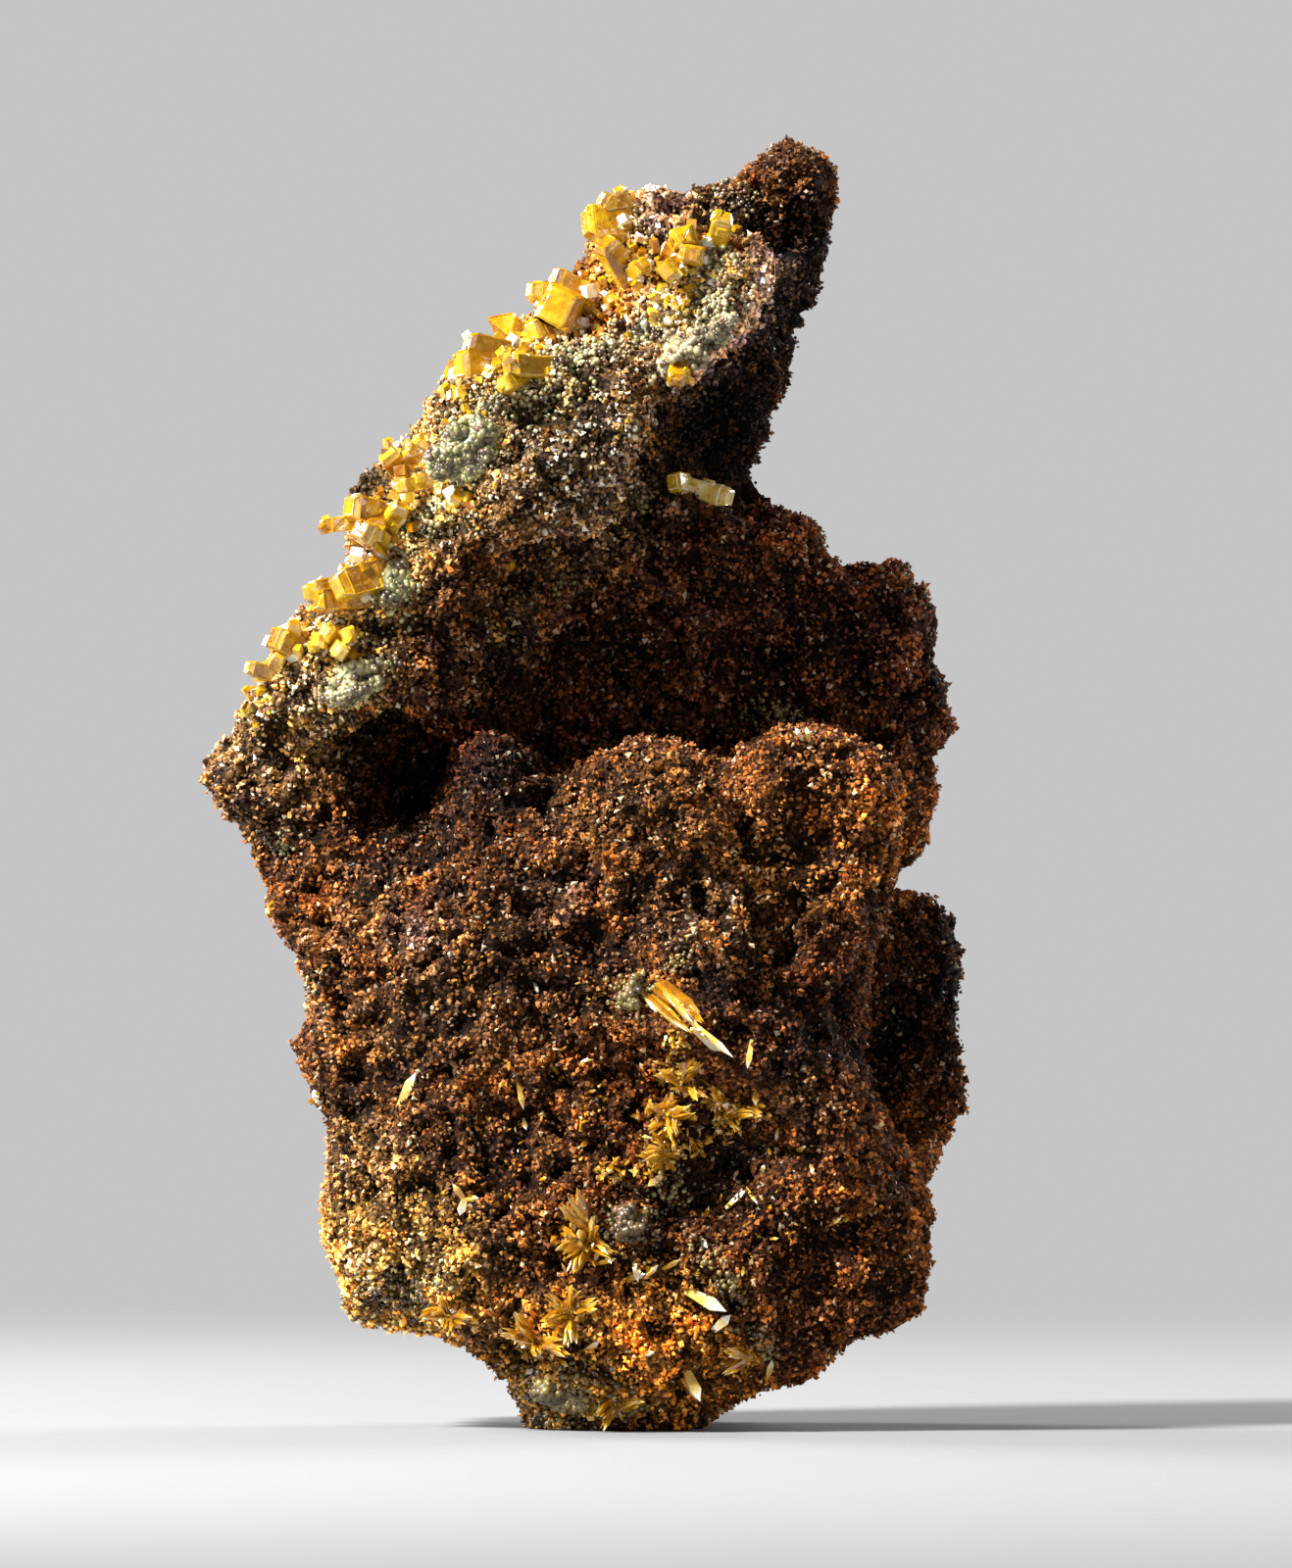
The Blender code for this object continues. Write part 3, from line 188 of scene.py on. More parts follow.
def relief(place):
    """Height of the rock's swells, lumps, pits and crumbs at a place, all in mm."""
    wandering = place + noise.noise_vector(place / 6) * DRIFT
    swells = SWELL_HEIGHT * noise.noise(place / SWELL_WIDTH + Vector((1, 6, 2)))
    lumps = LUMP_HEIGHT * (0.5 - 2.2 * abs(noise.noise(wandering / LUMP_WIDTH + Vector((5, 1, 8)))))
    pits = PIT_DEPTH * max(0.0, noise.noise(wandering / PIT_WIDTH + Vector((2, 7, 3))) - 0.2)
    crumbs = CRUMB_HEIGHT * crumbs_at(place)
    return swells + lumps + crumbs - pits - SINK


def weathered(bm, held):
    """Gives the surface its relief, and returns each place's rank from the deepest, 0, to the highest, 1. The
    held vertices are those that hold the crystals."""
    for _ in range(3):
        bmesh.ops.smooth_vert(bm, verts=bm.verts, factor=0.5, use_axis_x=True, use_axis_y=True, use_axis_z=True)
    bm.normal_update()
    heights = []
    for vert in bm.verts:
        above = vert.co.z / MM
        standing = min(1.0, max(0.0, above - 0.4) / 1.5)  # the flat foot stays flat
        lowest = LOWEST_BY_CRYSTALS if vert in held else LOWEST
        flat = plate_share(vert.co / MM)
        vert.co.y += (PLATE_FRONT * MM - vert.co.y) * flat
        heights.append(min(HIGHEST, max(lowest, relief(vert.co / MM))) * (1 - 0.7 * flat))
        vert.co += vert.normal * heights[-1] * standing * MM
        vert.co.z = max(vert.co.z, 0.0)
    bm.normal_update()
    return np.argsort(np.argsort(heights)) / len(heights)


# Stains that the rock's iron and its minerals give it, and on the front also painted shade and painted light. A stain
# is a colour, its middle (x, z) in the front or back view in mm, its reach in mm and its strength.
# Painted shadow: the dark brown stains at (22.5, 137), (20.5, 127) and (14, 117) on the neck behind the shelf, and the
# near-black ones at (-14, 77), (13, 31) and (37, 50) under the overhang, in the hollow under the ridge and on the
# recessed slab. Partly painted light: the strong pale purple-grey stains along the shelf's right rim, its own colour
# made brighter.
FRONT_STAINS_AND_PAINTED_SHADING = [
    ("847A6C", -6, 113, 8, 8), ("B0A08C", -2, 106, 5, 8), ("B08048", 0, 131, 4, 6), ("C4B89C", 7, 127, 4, 8),
    ("C8B890", 13, 132, 4, 8), ("BCA870", 4, 138, 5, 6), ("60462F", 19, 147, 6, 7), ("4A3020", 22.5, 137, 4, 9),
    ("3E281A", 20.5, 127, 5, 9), ("48301C", 14, 117, 6, 8), ("D0C498", -9, 123, 5, 6), ("BCB088", -17, 116, 4, 6),
    ("BCB084", -22, 110, 5, 6), ("B8A880", -28, 102, 5, 5), ("C0B084", -32, 95, 5, 5), ("B8A884", -36, 87, 6, 7),
    ("BCA880", -42, 82, 4, 5), ("94806C", -43, 75, 5, 6), ("664438", 2, 93, 10, 8), ("6C4638", 26, 90, 12, 8),
    ("5A382E", 36, 84, 8, 5), ("1E0F08", 37, 50, 8, 6), ("6A5242", -16, 92, 6, 6), ("160C08", -14, 77, 5, 14),
    ("2C1B12", -22, 70, 4, 3), ("785C3C", 4, 72, 8, 3), ("B88448", 26, 74, 8, 5), ("94785A", -25, 52, 9, 3),
    ("785A44", -8, 56, 8, 2), ("785634", -14, 36, 10, 2), ("54301A", 25, 50, 7, 4), ("74583C", 12, 56, 5, 3),
    ("0C0805", 13, 31, 5, 10), ("986638", 28, 26, 9, 4), ("D8BC7C", -26, 18, 7, 10), ("CC9A4C", 6, 8, 6, 8),
    ("BCA060", -6, 5, 6, 6), ("6E4828", 24, 13, 6, 5), ("A0582A", -28, 54, 3, 2), ("7A3414", -18, 80, 3, 3),
    ("20130B", 18, 58, 4, 3), ("8E8B66", -12, 93, 3, 3), ("C8B8C8", 18.7, 134.2, 1.5, 60),
    ("C8B8C8", 17.2, 130.4, 1.5, 60), ("C8B8C8", 14.4, 127.2, 1.5, 60), ("C8B8C8", 12.2, 124.6, 1.5, 60),
    ("B8A8B8", 9.6, 121.8, 1.5, 60), ("C4B0B8", 4.0, 143, 1.8, 40), ("C4B0B8", 6.6, 141, 1.8, 40),
    ("2A2220", -29.3, 109.4, 2.2, 16), ("A85A20", 16.4, 145.4, 0.7, 8), ("8C5C2C", -34, 62, 2, 3),
    ("8A4420", -22.5, 61, 1.4, 2), ("B4682C", 24, 71, 2, 3), ("9A4A1E", 9, 103, 1.5, 2), ("8E4018", -4, 82, 2, 2),
    ("7C6C78", -22, 57, 3, 3), ("6E606C", -5, 62, 3, 2), ("A08C70", -30, 30, 5, 4), ("3A2A22", -18, 44, 4, 3),
    ("B08E5C", 20, 66, 4, 3), ("2C1C14", 21, 44, 4, 4), ("140C08", 11, 51.2, 1.8, 10),
    ("2A2220", -28, 101, 1.2, 8), ("A88C78", 22, 38, 3, 3), ("A48A70", 12, 61, 3, 3),
]
BACK_STAINS = [
    ("8C6A42", 10, 130, 12, 2), ("6E4526", -10, 100, 16, 2), ("9A6A38", 14, 78, 14, 2), ("5A3820", -20, 64, 14, 2),
    ("85603A", 8, 46, 14, 2), ("9A5A28", -14, 30, 12, 2), ("6A4A30", 14, 20, 12, 2),
]
BARE_ROCK = "6E4A2A"
NECK_SHADOW_REACH = dict(x=(4.0, 6.0), y=(-9.0, -5.0), z=(106.0, 109.0), top=(136.0, 143.0))  # mm over which the painted shadow on the neck begins and ends
NECK_PAINTED_SHADOW = 0.62  # painted shadow: how much darker the neck behind the shelf is painted, where the shelf's shadow falls
CREAM_SHARE = 0.05  # of all the grains
CREAM_PLACES = [  # x, z, reach in mm and share, where more of the front's grains are cream-coloured
    (-6, 112, 8, 0.36), (0, 120, 5, 0.34), (9, 131, 9, 0.40), (-8, 124, 5, 0.40), (-20, 108, 6, 0.26),
    (-30, 96, 7, 0.26), (-37, 87, 6, 0.30), (-43, 76, 4, 0.15), (-16, 92, 4, 0.12), (10, 57, 4, 0.25),
    (25, 77, 4, 0.15), (-26, 17, 7, 0.30), (-26, 50, 7, 0.08), (3, 142, 4, 0.3),
]


def neck_painted_shadow_share(points):
    """How far each place lies in the painted shadow on the neck behind the shelf, from 0 to 1."""
    x, y, z = points.T / MM
    share = np.interp(z, NECK_SHADOW_REACH["top"], (1, 0.25))
    for place, reach in ((x, NECK_SHADOW_REACH["x"]), (y, NECK_SHADOW_REACH["y"]), (z, NECK_SHADOW_REACH["z"])):
        share = share * np.interp(place, reach, (0, 1))
    return share


def stains_and_painted_shade_at(points, normals):
    """The rock's linear colour at each place, blended from the stains on the side that it faces, with the painted shade
    among them and the painted shadow on the neck.
    """
    x, z = points[:, 0] / MM, points[:, 2] / MM
    total = np.tile(linear(BARE_ROCK), (len(points), 1))
    weight = np.ones(len(points))
    for stains, facing in ((FRONT_STAINS_AND_PAINTED_SHADING, -1), (BACK_STAINS, 1)):
        side = np.clip(0.4 + facing * normals[:, 1], 0, 1)
        for colour, middle_x, middle_z, reach, strength in stains:
            near = side * strength * np.exp(-((x - middle_x) ** 2 + (z - middle_z) ** 2) / reach ** 2)
            total += near[:, None] * linear(colour)
            weight += near
    # painted shadow: the neck behind the shelf is darkened where the shelf's shadow falls
    front = np.clip(0.9 - normals[:, 1], 0, 1)
    return total / weight[:, None] * (1 - NECK_PAINTED_SHADOW * neck_painted_shadow_share(points) * front)[:, None]


def cream_shares(points, normals):
    """The share of the cream-coloured grains round each place: some minerals coat the iron oxides there. The neck's
    painted shadow keeps them out.
    """
    share = np.full(len(points), CREAM_SHARE)
    front = np.clip(0.4 - normals[:, 1], 0, 1)
    for x, z, reach, more in CREAM_PLACES:
        near = np.exp(-((points[:, 0] / MM - x) ** 2 + (points[:, 2] / MM - z) ** 2) / reach ** 2)
        share = np.maximum(share, near * front * more)
    return share * (1 - neck_painted_shadow_share(points))


def set_attribute(mesh, name, values):
    """Stores a number or a colour for each vertex."""
    values = np.asarray(values, dtype=np.float32)
    if values.ndim == 1:
        layer = mesh.attributes.new(name, "FLOAT", "POINT")
        layer.data.foreach_set("value", values)
    else:
        layer = mesh.attributes.new(name, "FLOAT_COLOR", "POINT")
        layer.data.foreach_set("color", np.c_[values, np.ones(len(values), dtype=np.float32)].ravel())


def vertex_arrays(mesh):
    points = np.empty(len(mesh.vertices) * 3)
    normals = np.empty(len(mesh.vertices) * 3)
    mesh.vertices.foreach_get("co", points)
    mesh.vertices.foreach_get("normal", normals)
    return points.reshape(-1, 3), normals.reshape(-1, 3)


def add_node(tree, kind, inputs=(), stops=(), **settings):
    """Adds a shader node with its settings. An input is a value or another node's output, and stops are the
    positions and sRGB colours of a colour ramp."""
    made = tree.nodes.new("ShaderNode" + kind)
    for name, value in settings.items():
        setattr(made, name, value)
    for key, value in dict(inputs).items():
        if isinstance(value, bpy.types.NodeSocket):
            tree.links.new(value, made.inputs[key])
        else:
            made.inputs[key].default_value = value
    while len(stops) > len(made.color_ramp.elements if stops else ()):
        made.color_ramp.elements.new(0.5)
    for index, (position, colour) in enumerate(stops):
        made.color_ramp.elements[index].position = position
        made.color_ramp.elements[index].color = (*linear(colour), 1)
    return made


def new_material(name, **values):
    """A material with its shader; values name the shader's own inputs."""
    material = bpy.data.materials.new(name)
    material.use_nodes = True
    tree = material.node_tree
    shader = tree.nodes["Principled BSDF"]
    for key, value in values.items():
        shader.inputs[key.replace("_", " ").title().replace("Ior", "IOR")].default_value = value
    return material, tree, shader


def patchy(tree, colour, strength):
    """The colour in patches 2 to 4 mm wide: dull purple-brown, brown, golden and rusty."""
    place = add_node(tree, "TexCoord").outputs["Object"]
    patches = add_node(tree, "TexNoise", {"Vector": place, "Scale": 1 / (3.0 * MM), "Detail": 4.0, "Roughness": 0.6})
    stops = ((0.36, "AC9CA0"), (0.46, "C8B8A4"), (0.56, "F2DCA0"), (0.68, "F0B464"))
    tint = add_node(tree, "ValToRGB", {"Fac": patches.outputs["Fac"]}, stops).outputs["Color"]
    tinted = add_node(tree, "VectorMath", {0: colour, 1: tint}, operation="MULTIPLY").outputs[0]
    return add_node(tree, "VectorMath", {0: tinted, "Scale": strength}, operation="SCALE").outputs[0]


def limonite_ground():
    """Limonite between its grains: earthy iron oxide, matt as unglazed clay, with a crumbly surface about 0.5 mm
    across. What shows between the grains is painted darker than they are, and darker still in the crumbs' hollows, as
    painted shade."""
    material, tree, shader = new_material("earthy_limonite", roughness=0.95, specular_ior_level=0.15)
    place = add_node(tree, "TexCoord").outputs["Object"]
    stain_and_painted_shade = add_node(tree, "Attribute", attribute_name="stain_and_painted_shade").outputs["Color"]
    crumbs = add_node(tree, "TexNoise", {"Vector": place, "Scale": 1 / (0.6 * MM), "Detail": 3.0, "Roughness": 0.65})
    # painted shade: the colour follows the bump's height, dark in its hollows and pale on its tops
    stops = ((0.38, "201A16"), (0.5, "8A8078"), (0.64, "FFF4E4"))
    shade = add_node(tree, "ValToRGB", {"Fac": crumbs.outputs["Fac"]}, stops).outputs["Color"]
    shaded = add_node(tree, "VectorMath", {0: stain_and_painted_shade, 1: shade}, operation="MULTIPLY").outputs[0]
    tree.links.new(patchy(tree, shaded, 2.2), shader.inputs["Base Color"])
    bump = add_node(tree, "Bump", {"Height": crumbs.outputs["Fac"], "Strength": 1.0, "Distance": 0.4 * MM})
    tree.links.new(bump.outputs["Normal"], shader.inputs["Normal"])
    return material


crystal_nodes = sorted(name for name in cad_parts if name.startswith("wulfenite"))
crust_nodes = sorted(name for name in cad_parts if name.startswith("mimetite"))
rock = remeshed(node_copy("limonite_matrix"), ROCK_GRID)
held_vertices = close_sockets(rock, crystal_nodes + crust_nodes)
rock_ranks = weathered(rock, held_vertices)
limonite_rock = piece_of(rock, "limonite_rock", limonite_ground(), smooth=True)
rock_points, rock_normals = vertex_arrays(limonite_rock.data)
# Painted shade: the rock is near black in its deepest pits and gaps and lightest on its highest places; cream coatings
# lighten it, and the bare rims are painted three times lighter than their own pale purple-grey, as painted light.
rock_painted_shade_and_cream = 0.04 + rock_ranks ** 2 + 0.8 * cream_shares(rock_points, rock_normals)
rock_painted_shade_and_cream = np.maximum(rock_painted_shade_and_cream, 3.0 * bareness(rock_points, rock_normals))
set_attribute(limonite_rock.data, "stain_and_painted_shade", stains_and_painted_shade_at(rock_points, rock_normals) * rock_painted_shade_and_cream[:, None])
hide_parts("limonite_matrix")

# Limonite grains
#
# The whole matrix is coated with a sugar of grains under half a millimetre across: brown, golden, rusty and
# black, gathered in crumbs, with flat faces of which a few flash. They are too many for solids, so they are
# three joined meshes, closest together on the side that the photograph shows.

GRAINS_PER_PIECE = 32600  # six faces each
GRAIN_SIZE = (0.14, 0.40)  # half lengths, mm
GRAIN_LIFT, CLUMP_LIFT = -0.08, 0.45  # mm between the rock's surface and a grain's middle, in gaps and on crumbs
GRAIN_COVER = 0.35 * MM  # how thick the grains lie


def arrays_of(bm):
    """A small body's corners and its triangles, as arrays that joined_mesh repeats."""
    bmesh.ops.triangulate(bm, faces=bm.faces)
    bmesh.ops.recalc_face_normals(bm, faces=bm.faces)
    bm.verts.index_update()
    corners = np.array([vert.co for vert in bm.verts])
    faces = np.array([[vert.index for vert in face.verts] for face in bm.faces])
    bm.free()
    return corners, faces


def chip():
    """A grain: two three-sided pyramids base to base, with every corner knocked out of true."""
    bm = bmesh.new()
    bmesh.ops.create_cone(bm, segments=3, radius1=1.15, radius2=0, depth=1)
    bmesh.ops.translate(bm, vec=(0, 0, 0.5), verts=bm.verts)
    bmesh.ops.mirror(bm, geom=bm.verts[:] + bm.edges[:] + bm.faces[:], axis="Z", merge_dist=0.01)
    bmesh.ops.remove_doubles(bm, verts=bm.verts, dist=0.01)
    for vert in bm.verts:
        vert.co += 0.4 * noise.noise_vector(vert.co * 1.7 + Vector((4, 2, 7)))
    return arrays_of(bm)


GRAIN_CORNERS, GRAIN_FACES = chip()


def places_on(mesh, count, density, dice, ranks=None):
    """Random places on a mesh, with its normals, its ranks and the directions of its triangles' shortest edges
    there. The density is a share that a function gives from the places, the normals and the ranks."""
    mesh.calc_loop_triangles()
    corners = np.empty(len(mesh.loop_triangles) * 3, dtype=np.int32)
    mesh.loop_triangles.foreach_get("vertices", corners)
    corners = corners.reshape(-1, 3)
    points, _ = vertex_arrays(mesh)
    a, b, c = points[corners].transpose(1, 0, 2)
    across = np.cross(b - a, c - a)
    area = np.linalg.norm(across, axis=1)
    normals = across / np.maximum(area, 1e-15)[:, None]
    rank = ranks[corners].mean(axis=1) if ranks is not None else np.ones(len(area))
    share = area * density((a + b + c) / 3, normals, rank)
    chosen = dice.choice(len(area), count, p=share / share.sum())
    u, v = dice.random((2, count))
    u, v = np.where(u + v > 1, (1 - u, 1 - v), (u, v))
    spots = a[chosen] + (b - a)[chosen] * u[:, None] + (c - a)[chosen] * v[:, None]
    edges = np.stack([b - a, c - b, a - c])
    shortest = edges[np.linalg.norm(edges, axis=2).argmin(axis=0), np.arange(len(area))]
    return spots, normals[chosen], rank[chosen], shortest[chosen]


def random_turns(count, dice):
    """Rotation matrices that favour no direction, from random unit quaternions."""
    quaternions = dice.normal(size=(count, 4))
    w, x, y, z = (quaternions / np.linalg.norm(quaternions, axis=1)[:, None]).T
    rows = [[1 - 2 * (y * y + z * z), 2 * (x * y - z * w), 2 * (x * z + y * w)],
            [2 * (x * y + z * w), 1 - 2 * (x * x + z * z), 2 * (y * z - x * w)],
            [2 * (x * z - y * w), 2 * (y * z + x * w), 1 - 2 * (x * x + y * y)]]
    return np.array(rows).transpose(2, 0, 1)


def joined_mesh(name, corners, faces, middles, turns, sizes):
    """One mesh of many small bodies: each has the same corners, with its own size, turn and middle."""
    points = np.einsum("nij,nkj->nki", turns, corners[None] * sizes[:, None]) + middles[:, None]
    points[..., 2] = np.maximum(points[..., 2], 0)
    faces = faces[None] + (np.arange(len(middles)) * len(corners))[:, None, None]
    mesh = bpy.data.meshes.new(name)
    mesh.from_pydata(points.reshape(-1, 3), [], faces.reshape(-1, faces.shape[-1]))
    return mesh


def crumb_ranks(spots):
    """Each place's rank from the deepest gap between crumbs, 0, to the top of the highest crumb, 1."""
    heights = [crumbs_at(Vector(spot)) for spot in spots / MM]
    return np.argsort(np.argsort(heights)) / len(heights)


def grain_piece(name, density, material, seed):
    dice = np.random.default_rng(seed)
    spots, normals, rank, _ = places_on(limonite_rock.data, GRAINS_PER_PIECE, density, dice, rock_ranks)
    crumb = crumb_ranks(spots)
    sizes = dice.uniform(*GRAIN_SIZE, (GRAINS_PER_PIECE, 3)) * MM
    sizes *= dice.choice([0.8, 1.0, 1.4], GRAINS_PER_PIECE, p=[0.35, 0.5, 0.15])[:, None]
    middles = spots + normals * (GRAIN_LIFT + CLUMP_LIFT * crumb)[:, None] * MM
    middles[:, 2] = np.maximum(middles[:, 2], sizes.max(axis=1))
    mesh = joined_mesh(name, GRAIN_CORNERS, GRAIN_FACES, middles, random_turns(GRAINS_PER_PIECE, dice), sizes)
    each = len(GRAIN_CORNERS)
    # painted shade: a grain is darker low in a pit and between crumbs, lighter on a crumb's top
    colours = stains_and_painted_shade_at(spots, normals) * ((0.45 + 0.75 * rank) * (0.25 + 1.35 * crumb))[:, None]
    set_attribute(mesh, "stain_and_painted_shade", np.repeat(colours, each, axis=0))
    chance = dice.random((GRAINS_PER_PIECE, 3))
    chance[:, 2] = chance[:, 2] < cream_shares(spots, normals) * (0.4 + 1.2 * crumb)
    set_attribute(mesh, "chance", np.repeat(chance, each, axis=0))
    return finished(mesh, name, material)


def limonite_grain():
    """Grains of limonite and goethite: dull to resinous, with small flat faces. Each grain takes the local stain,
    darkened as painted shade low in pits and between crumbs, and its own shade from dark to pale. Some are
    cream-coloured, and the glossiest ones glint."""
    material, tree, shader = new_material("granular_limonite", specular_ior_level=0.35)
    stain_and_painted_shade = add_node(tree, "Attribute", attribute_name="stain_and_painted_shade").outputs["Color"]
    chance = add_node(tree, "Attribute", attribute_name="chance").outputs["Vector"]
    parts = add_node(tree, "SeparateXYZ", {"Vector": chance}).outputs
    stops = ((0.0, "5C504A"), (0.25, "94887E"), (0.6, "C8BEB0"), (1.0, "FAF4EC"))
    shade = add_node(tree, "ValToRGB", {"Fac": parts["X"]}, stops).outputs["Color"]
    body = add_node(tree, "VectorMath", {0: stain_and_painted_shade, 1: shade}, operation="MULTIPLY").outputs[0]
    cream = add_node(tree, "VectorMath", {0: stain_and_painted_shade, 1: (1.6, 1.9, 2.2), 2: (0.30, 0.26, 0.17)},
                     operation="MULTIPLY_ADD").outputs[0]
    inputs = {0: parts["Z"], 6: patchy(tree, body, 4.6), 7: cream}
    mixed = add_node(tree, "Mix", inputs, data_type="RGBA").outputs[2]
    tree.links.new(mixed, shader.inputs["Base Color"])
    gloss = add_node(tree, "MapRange", {"Value": parts["Y"], "From Min": 0.7, "To Min": 0.85, "To Max": 0.25})
    tree.links.new(gloss.outputs["Result"], shader.inputs["Roughness"])
    return material


def on_front(points, normals, rank):
    return np.clip(0.10 - normals[:, 1], 0.02, 1.0) * (0.4 + rank) * (1 - bareness(points, normals))


def all_round(points, normals, rank):
    return np.clip(0.75 + 0.7 * normals[:, 1], 0.1, 1.0) * (0.4 + rank) * (1 - bareness(points, normals))


grain_material = limonite_grain()
grain_piece("limonite_grains_front", on_front, grain_material, 11)
grain_piece("limonite_grains_front_fine", on_front, grain_material, 12)
grain_piece("limonite_grains_all_round", all_round, grain_material, 13)

# Wulfenite crystals
#
# Lead molybdate, honey-yellow to orange, with an adamantine to resinous lustre. On the shelf, the ridge and the
# display side it grew as blocks and square tablets: each node keeps its place and form, and is overgrown with
# steps and with smaller blocks parallel to it. On the lower front it grew as bundles of thin blades.

STEP_LEAST_AREA = 1.1  # mm2, the smallest face that shows growth steps
STEP_WIDTH, STEP_HEIGHT = 0.22 * MM, 0.09 * MM
EDGE_WEAR = 0.05 * MM
OVERGROWTH = 0.13  # blocks for each mm2 of a crystal
OVERGROWTH_SIZE = (0.2, 0.75)  # half widths, mm
EDGE_PALE, FACE_PALE = 0.26, 0.2  # how far the edges and the faces pale, from honey 0 to white 1
PALE_NODES = {"wulfenite_pale_prism": 0.5, "wulfenite_glinting_tablets": 0.2}  # paler all through
AMBER_ROOT = {"wulfenite_pale_prism": 8.5}  # x in mm, left of which a pale crystal's root is honey-coloured
BLADE_NODES = ("blades", "branching", "rosette", "fan", "star", "foot_cluster", "corner_cluster")
BLADES_A_TIP = 8
LARGE_BLADES = [  # root and tip (x, z), width, how far it stands out, all in mm, and how pale it is
    (5.0, 52.2, 10.2, 47.6, 1.5, 0.0, -0.05), (4.8, 51.8, 9.8, 46.8, 1.1, 0.3, 0.3), (5.8, 52.0, 9.8, 48.6, 1.0, 0.4, 0.0),
    (5.6, 51.0, 9.0, 47.4, 0.7, 0.6, 0.5), (6.6, 49.8, 10.6, 45.8, 0.6, 0.5, 0.6), (9.0, 47.4, 13.6, 43.5, 0.8, 0.1, 0.6), (8.8, 46.8, 13.0, 43.0, 0.7, 0.0, 0.75),
    (9.6, 46.8, 13.0, 43.2, 0.8, 0.3, 0.9), (10.0, 46.2, 12.4, 43.6, 0.6, 0.4, 0.8), (3.0, 50.8, 8.8, 46.3, 1.2, 0.0, 0.0),
    (3.4, 50.2, 8.4, 46.4, 0.6, 0.3, 0.55), (4.2, 50.6, 7.6, 47.6, 0.7, 0.4, 0.1), (3.1, 50.8, 4.8, 48.6, 0.5, 0.4, 0.7),
    (4.4, 51.2, 7.0, 49.2, 0.8, 0.1, 0.0), (7.4, 50.0, 10.0, 47.4, 0.8, 0.3, -0.1),
]
SPLAY = 0.09  # by which a bundle's blades spread, as a share of their length
MOST_SPLAY = 0.45 * MM


def block():
    """A square block that draws in a little toward its free end."""
    bm = bmesh.new()
    bmesh.ops.create_cube(bm, size=2)
    bmesh.ops.scale(bm, vec=(0.8, 0.8, 1), verts=[vert for vert in bm.verts if vert.co.z > 0])
    return arrays_of(bm)


def lath():
    """A four-sided blade, widest at two thirds of its length, with a pointed end."""
    bm = bmesh.new()
    bmesh.ops.create_cube(bm, size=2)
    bmesh.ops.scale(bm, vec=(0.6, 0.6, 1), verts=[vert for vert in bm.verts if vert.co.z < 0])
    bmesh.ops.translate(bm, vec=(0, 0, -0.65), verts=[vert for vert in bm.verts if vert.co.z > 0])
    bm.normal_update()
    tip = bmesh.ops.poke(bm, faces=[face for face in bm.faces if face.normal.z > 0.9])["verts"]
    bmesh.ops.translate(bm, vec=(0, 0, 0.65), verts=tip)
    return arrays_of(bm)


BLOCK_CORNERS, BLOCK_FACES = block()
LATH_CORNERS, LATH_FACES = lath()
LATH_PALE = np.interp(LATH_CORNERS[:, 2], (-1, 0.35, 1), (0, 0.15, 0.6))  # a blade whitens toward its tip


def wulfenite_crystal(name, stops):
    """Wulfenite: a soft, brittle, translucent crystal of very high index, so that flat faces flash white while
    light glows inside its thin edges. Growth zones change the yellow over about 2 mm, and frosting whitens it."""
    material, tree, shader = new_material(
        name, ior=2.2, roughness=0.16, subsurface_weight=0.2, subsurface_scale=0.8 * MM)
    shader.inputs["Subsurface Radius"].default_value = (1.0, 0.6, 0.08)
    place = add_node(tree, "TexCoord").outputs["Object"]
    pale = add_node(tree, "Attribute", attribute_name="pale").outputs["Fac"]
    zones = add_node(tree, "TexNoise", {"Vector": place, "Scale": 1 / (2.0 * MM), "Detail": 4.0, "Roughness": 0.65})
    shift = add_node(tree, "MapRange", {"Value": zones.outputs["Fac"], "From Min": 0.3, "From Max": 0.7,
                                        "To Min": -0.12, "To Max": 0.3})
    depth = add_node(tree, "Math", {0: pale, 1: shift.outputs["Result"]}, operation="ADD").outputs[0]
    colour = add_node(tree, "ValToRGB", {"Fac": depth}, stops).outputs["Color"]
    tree.links.new(colour, shader.inputs["Base Color"])
    ridges = add_node(tree, "TexVoronoi", {"Vector": place, "Scale": 1 / (0.7 * MM)}, distance="CHEBYCHEV")
    bump = add_node(tree, "Bump", {"Height": ridges.outputs["Distance"], "Strength": 0.45, "Distance": 0.15 * MM})
    tree.links.new(bump.outputs["Normal"], shader.inputs["Normal"])
    return material


HONEY_STOPS = ((0.0, "8E5604"), (0.2, "B88006"), (0.4, "D2A410"), (0.6, "E8C034"), (0.8, "F8DC88"), (1.0, "FFF8E4"))
AMBER_STOPS = ((0.0, "885006"), (0.25, "B67A0C"), (0.5, "D8A024"), (0.75, "F0CC68"), (1.0, "FFF6E0"))
wulfenite = wulfenite_crystal("honey_wulfenite", HONEY_STOPS)
amber_wulfenite = wulfenite_crystal("amber_wulfenite", AMBER_STOPS)


def paler_at(name, x):
    """How much paler than honey a node's crystal is at x."""
    return PALE_NODES.get(name, 0.0) * (x > AMBER_ROOT.get(name, -1e3) * MM)


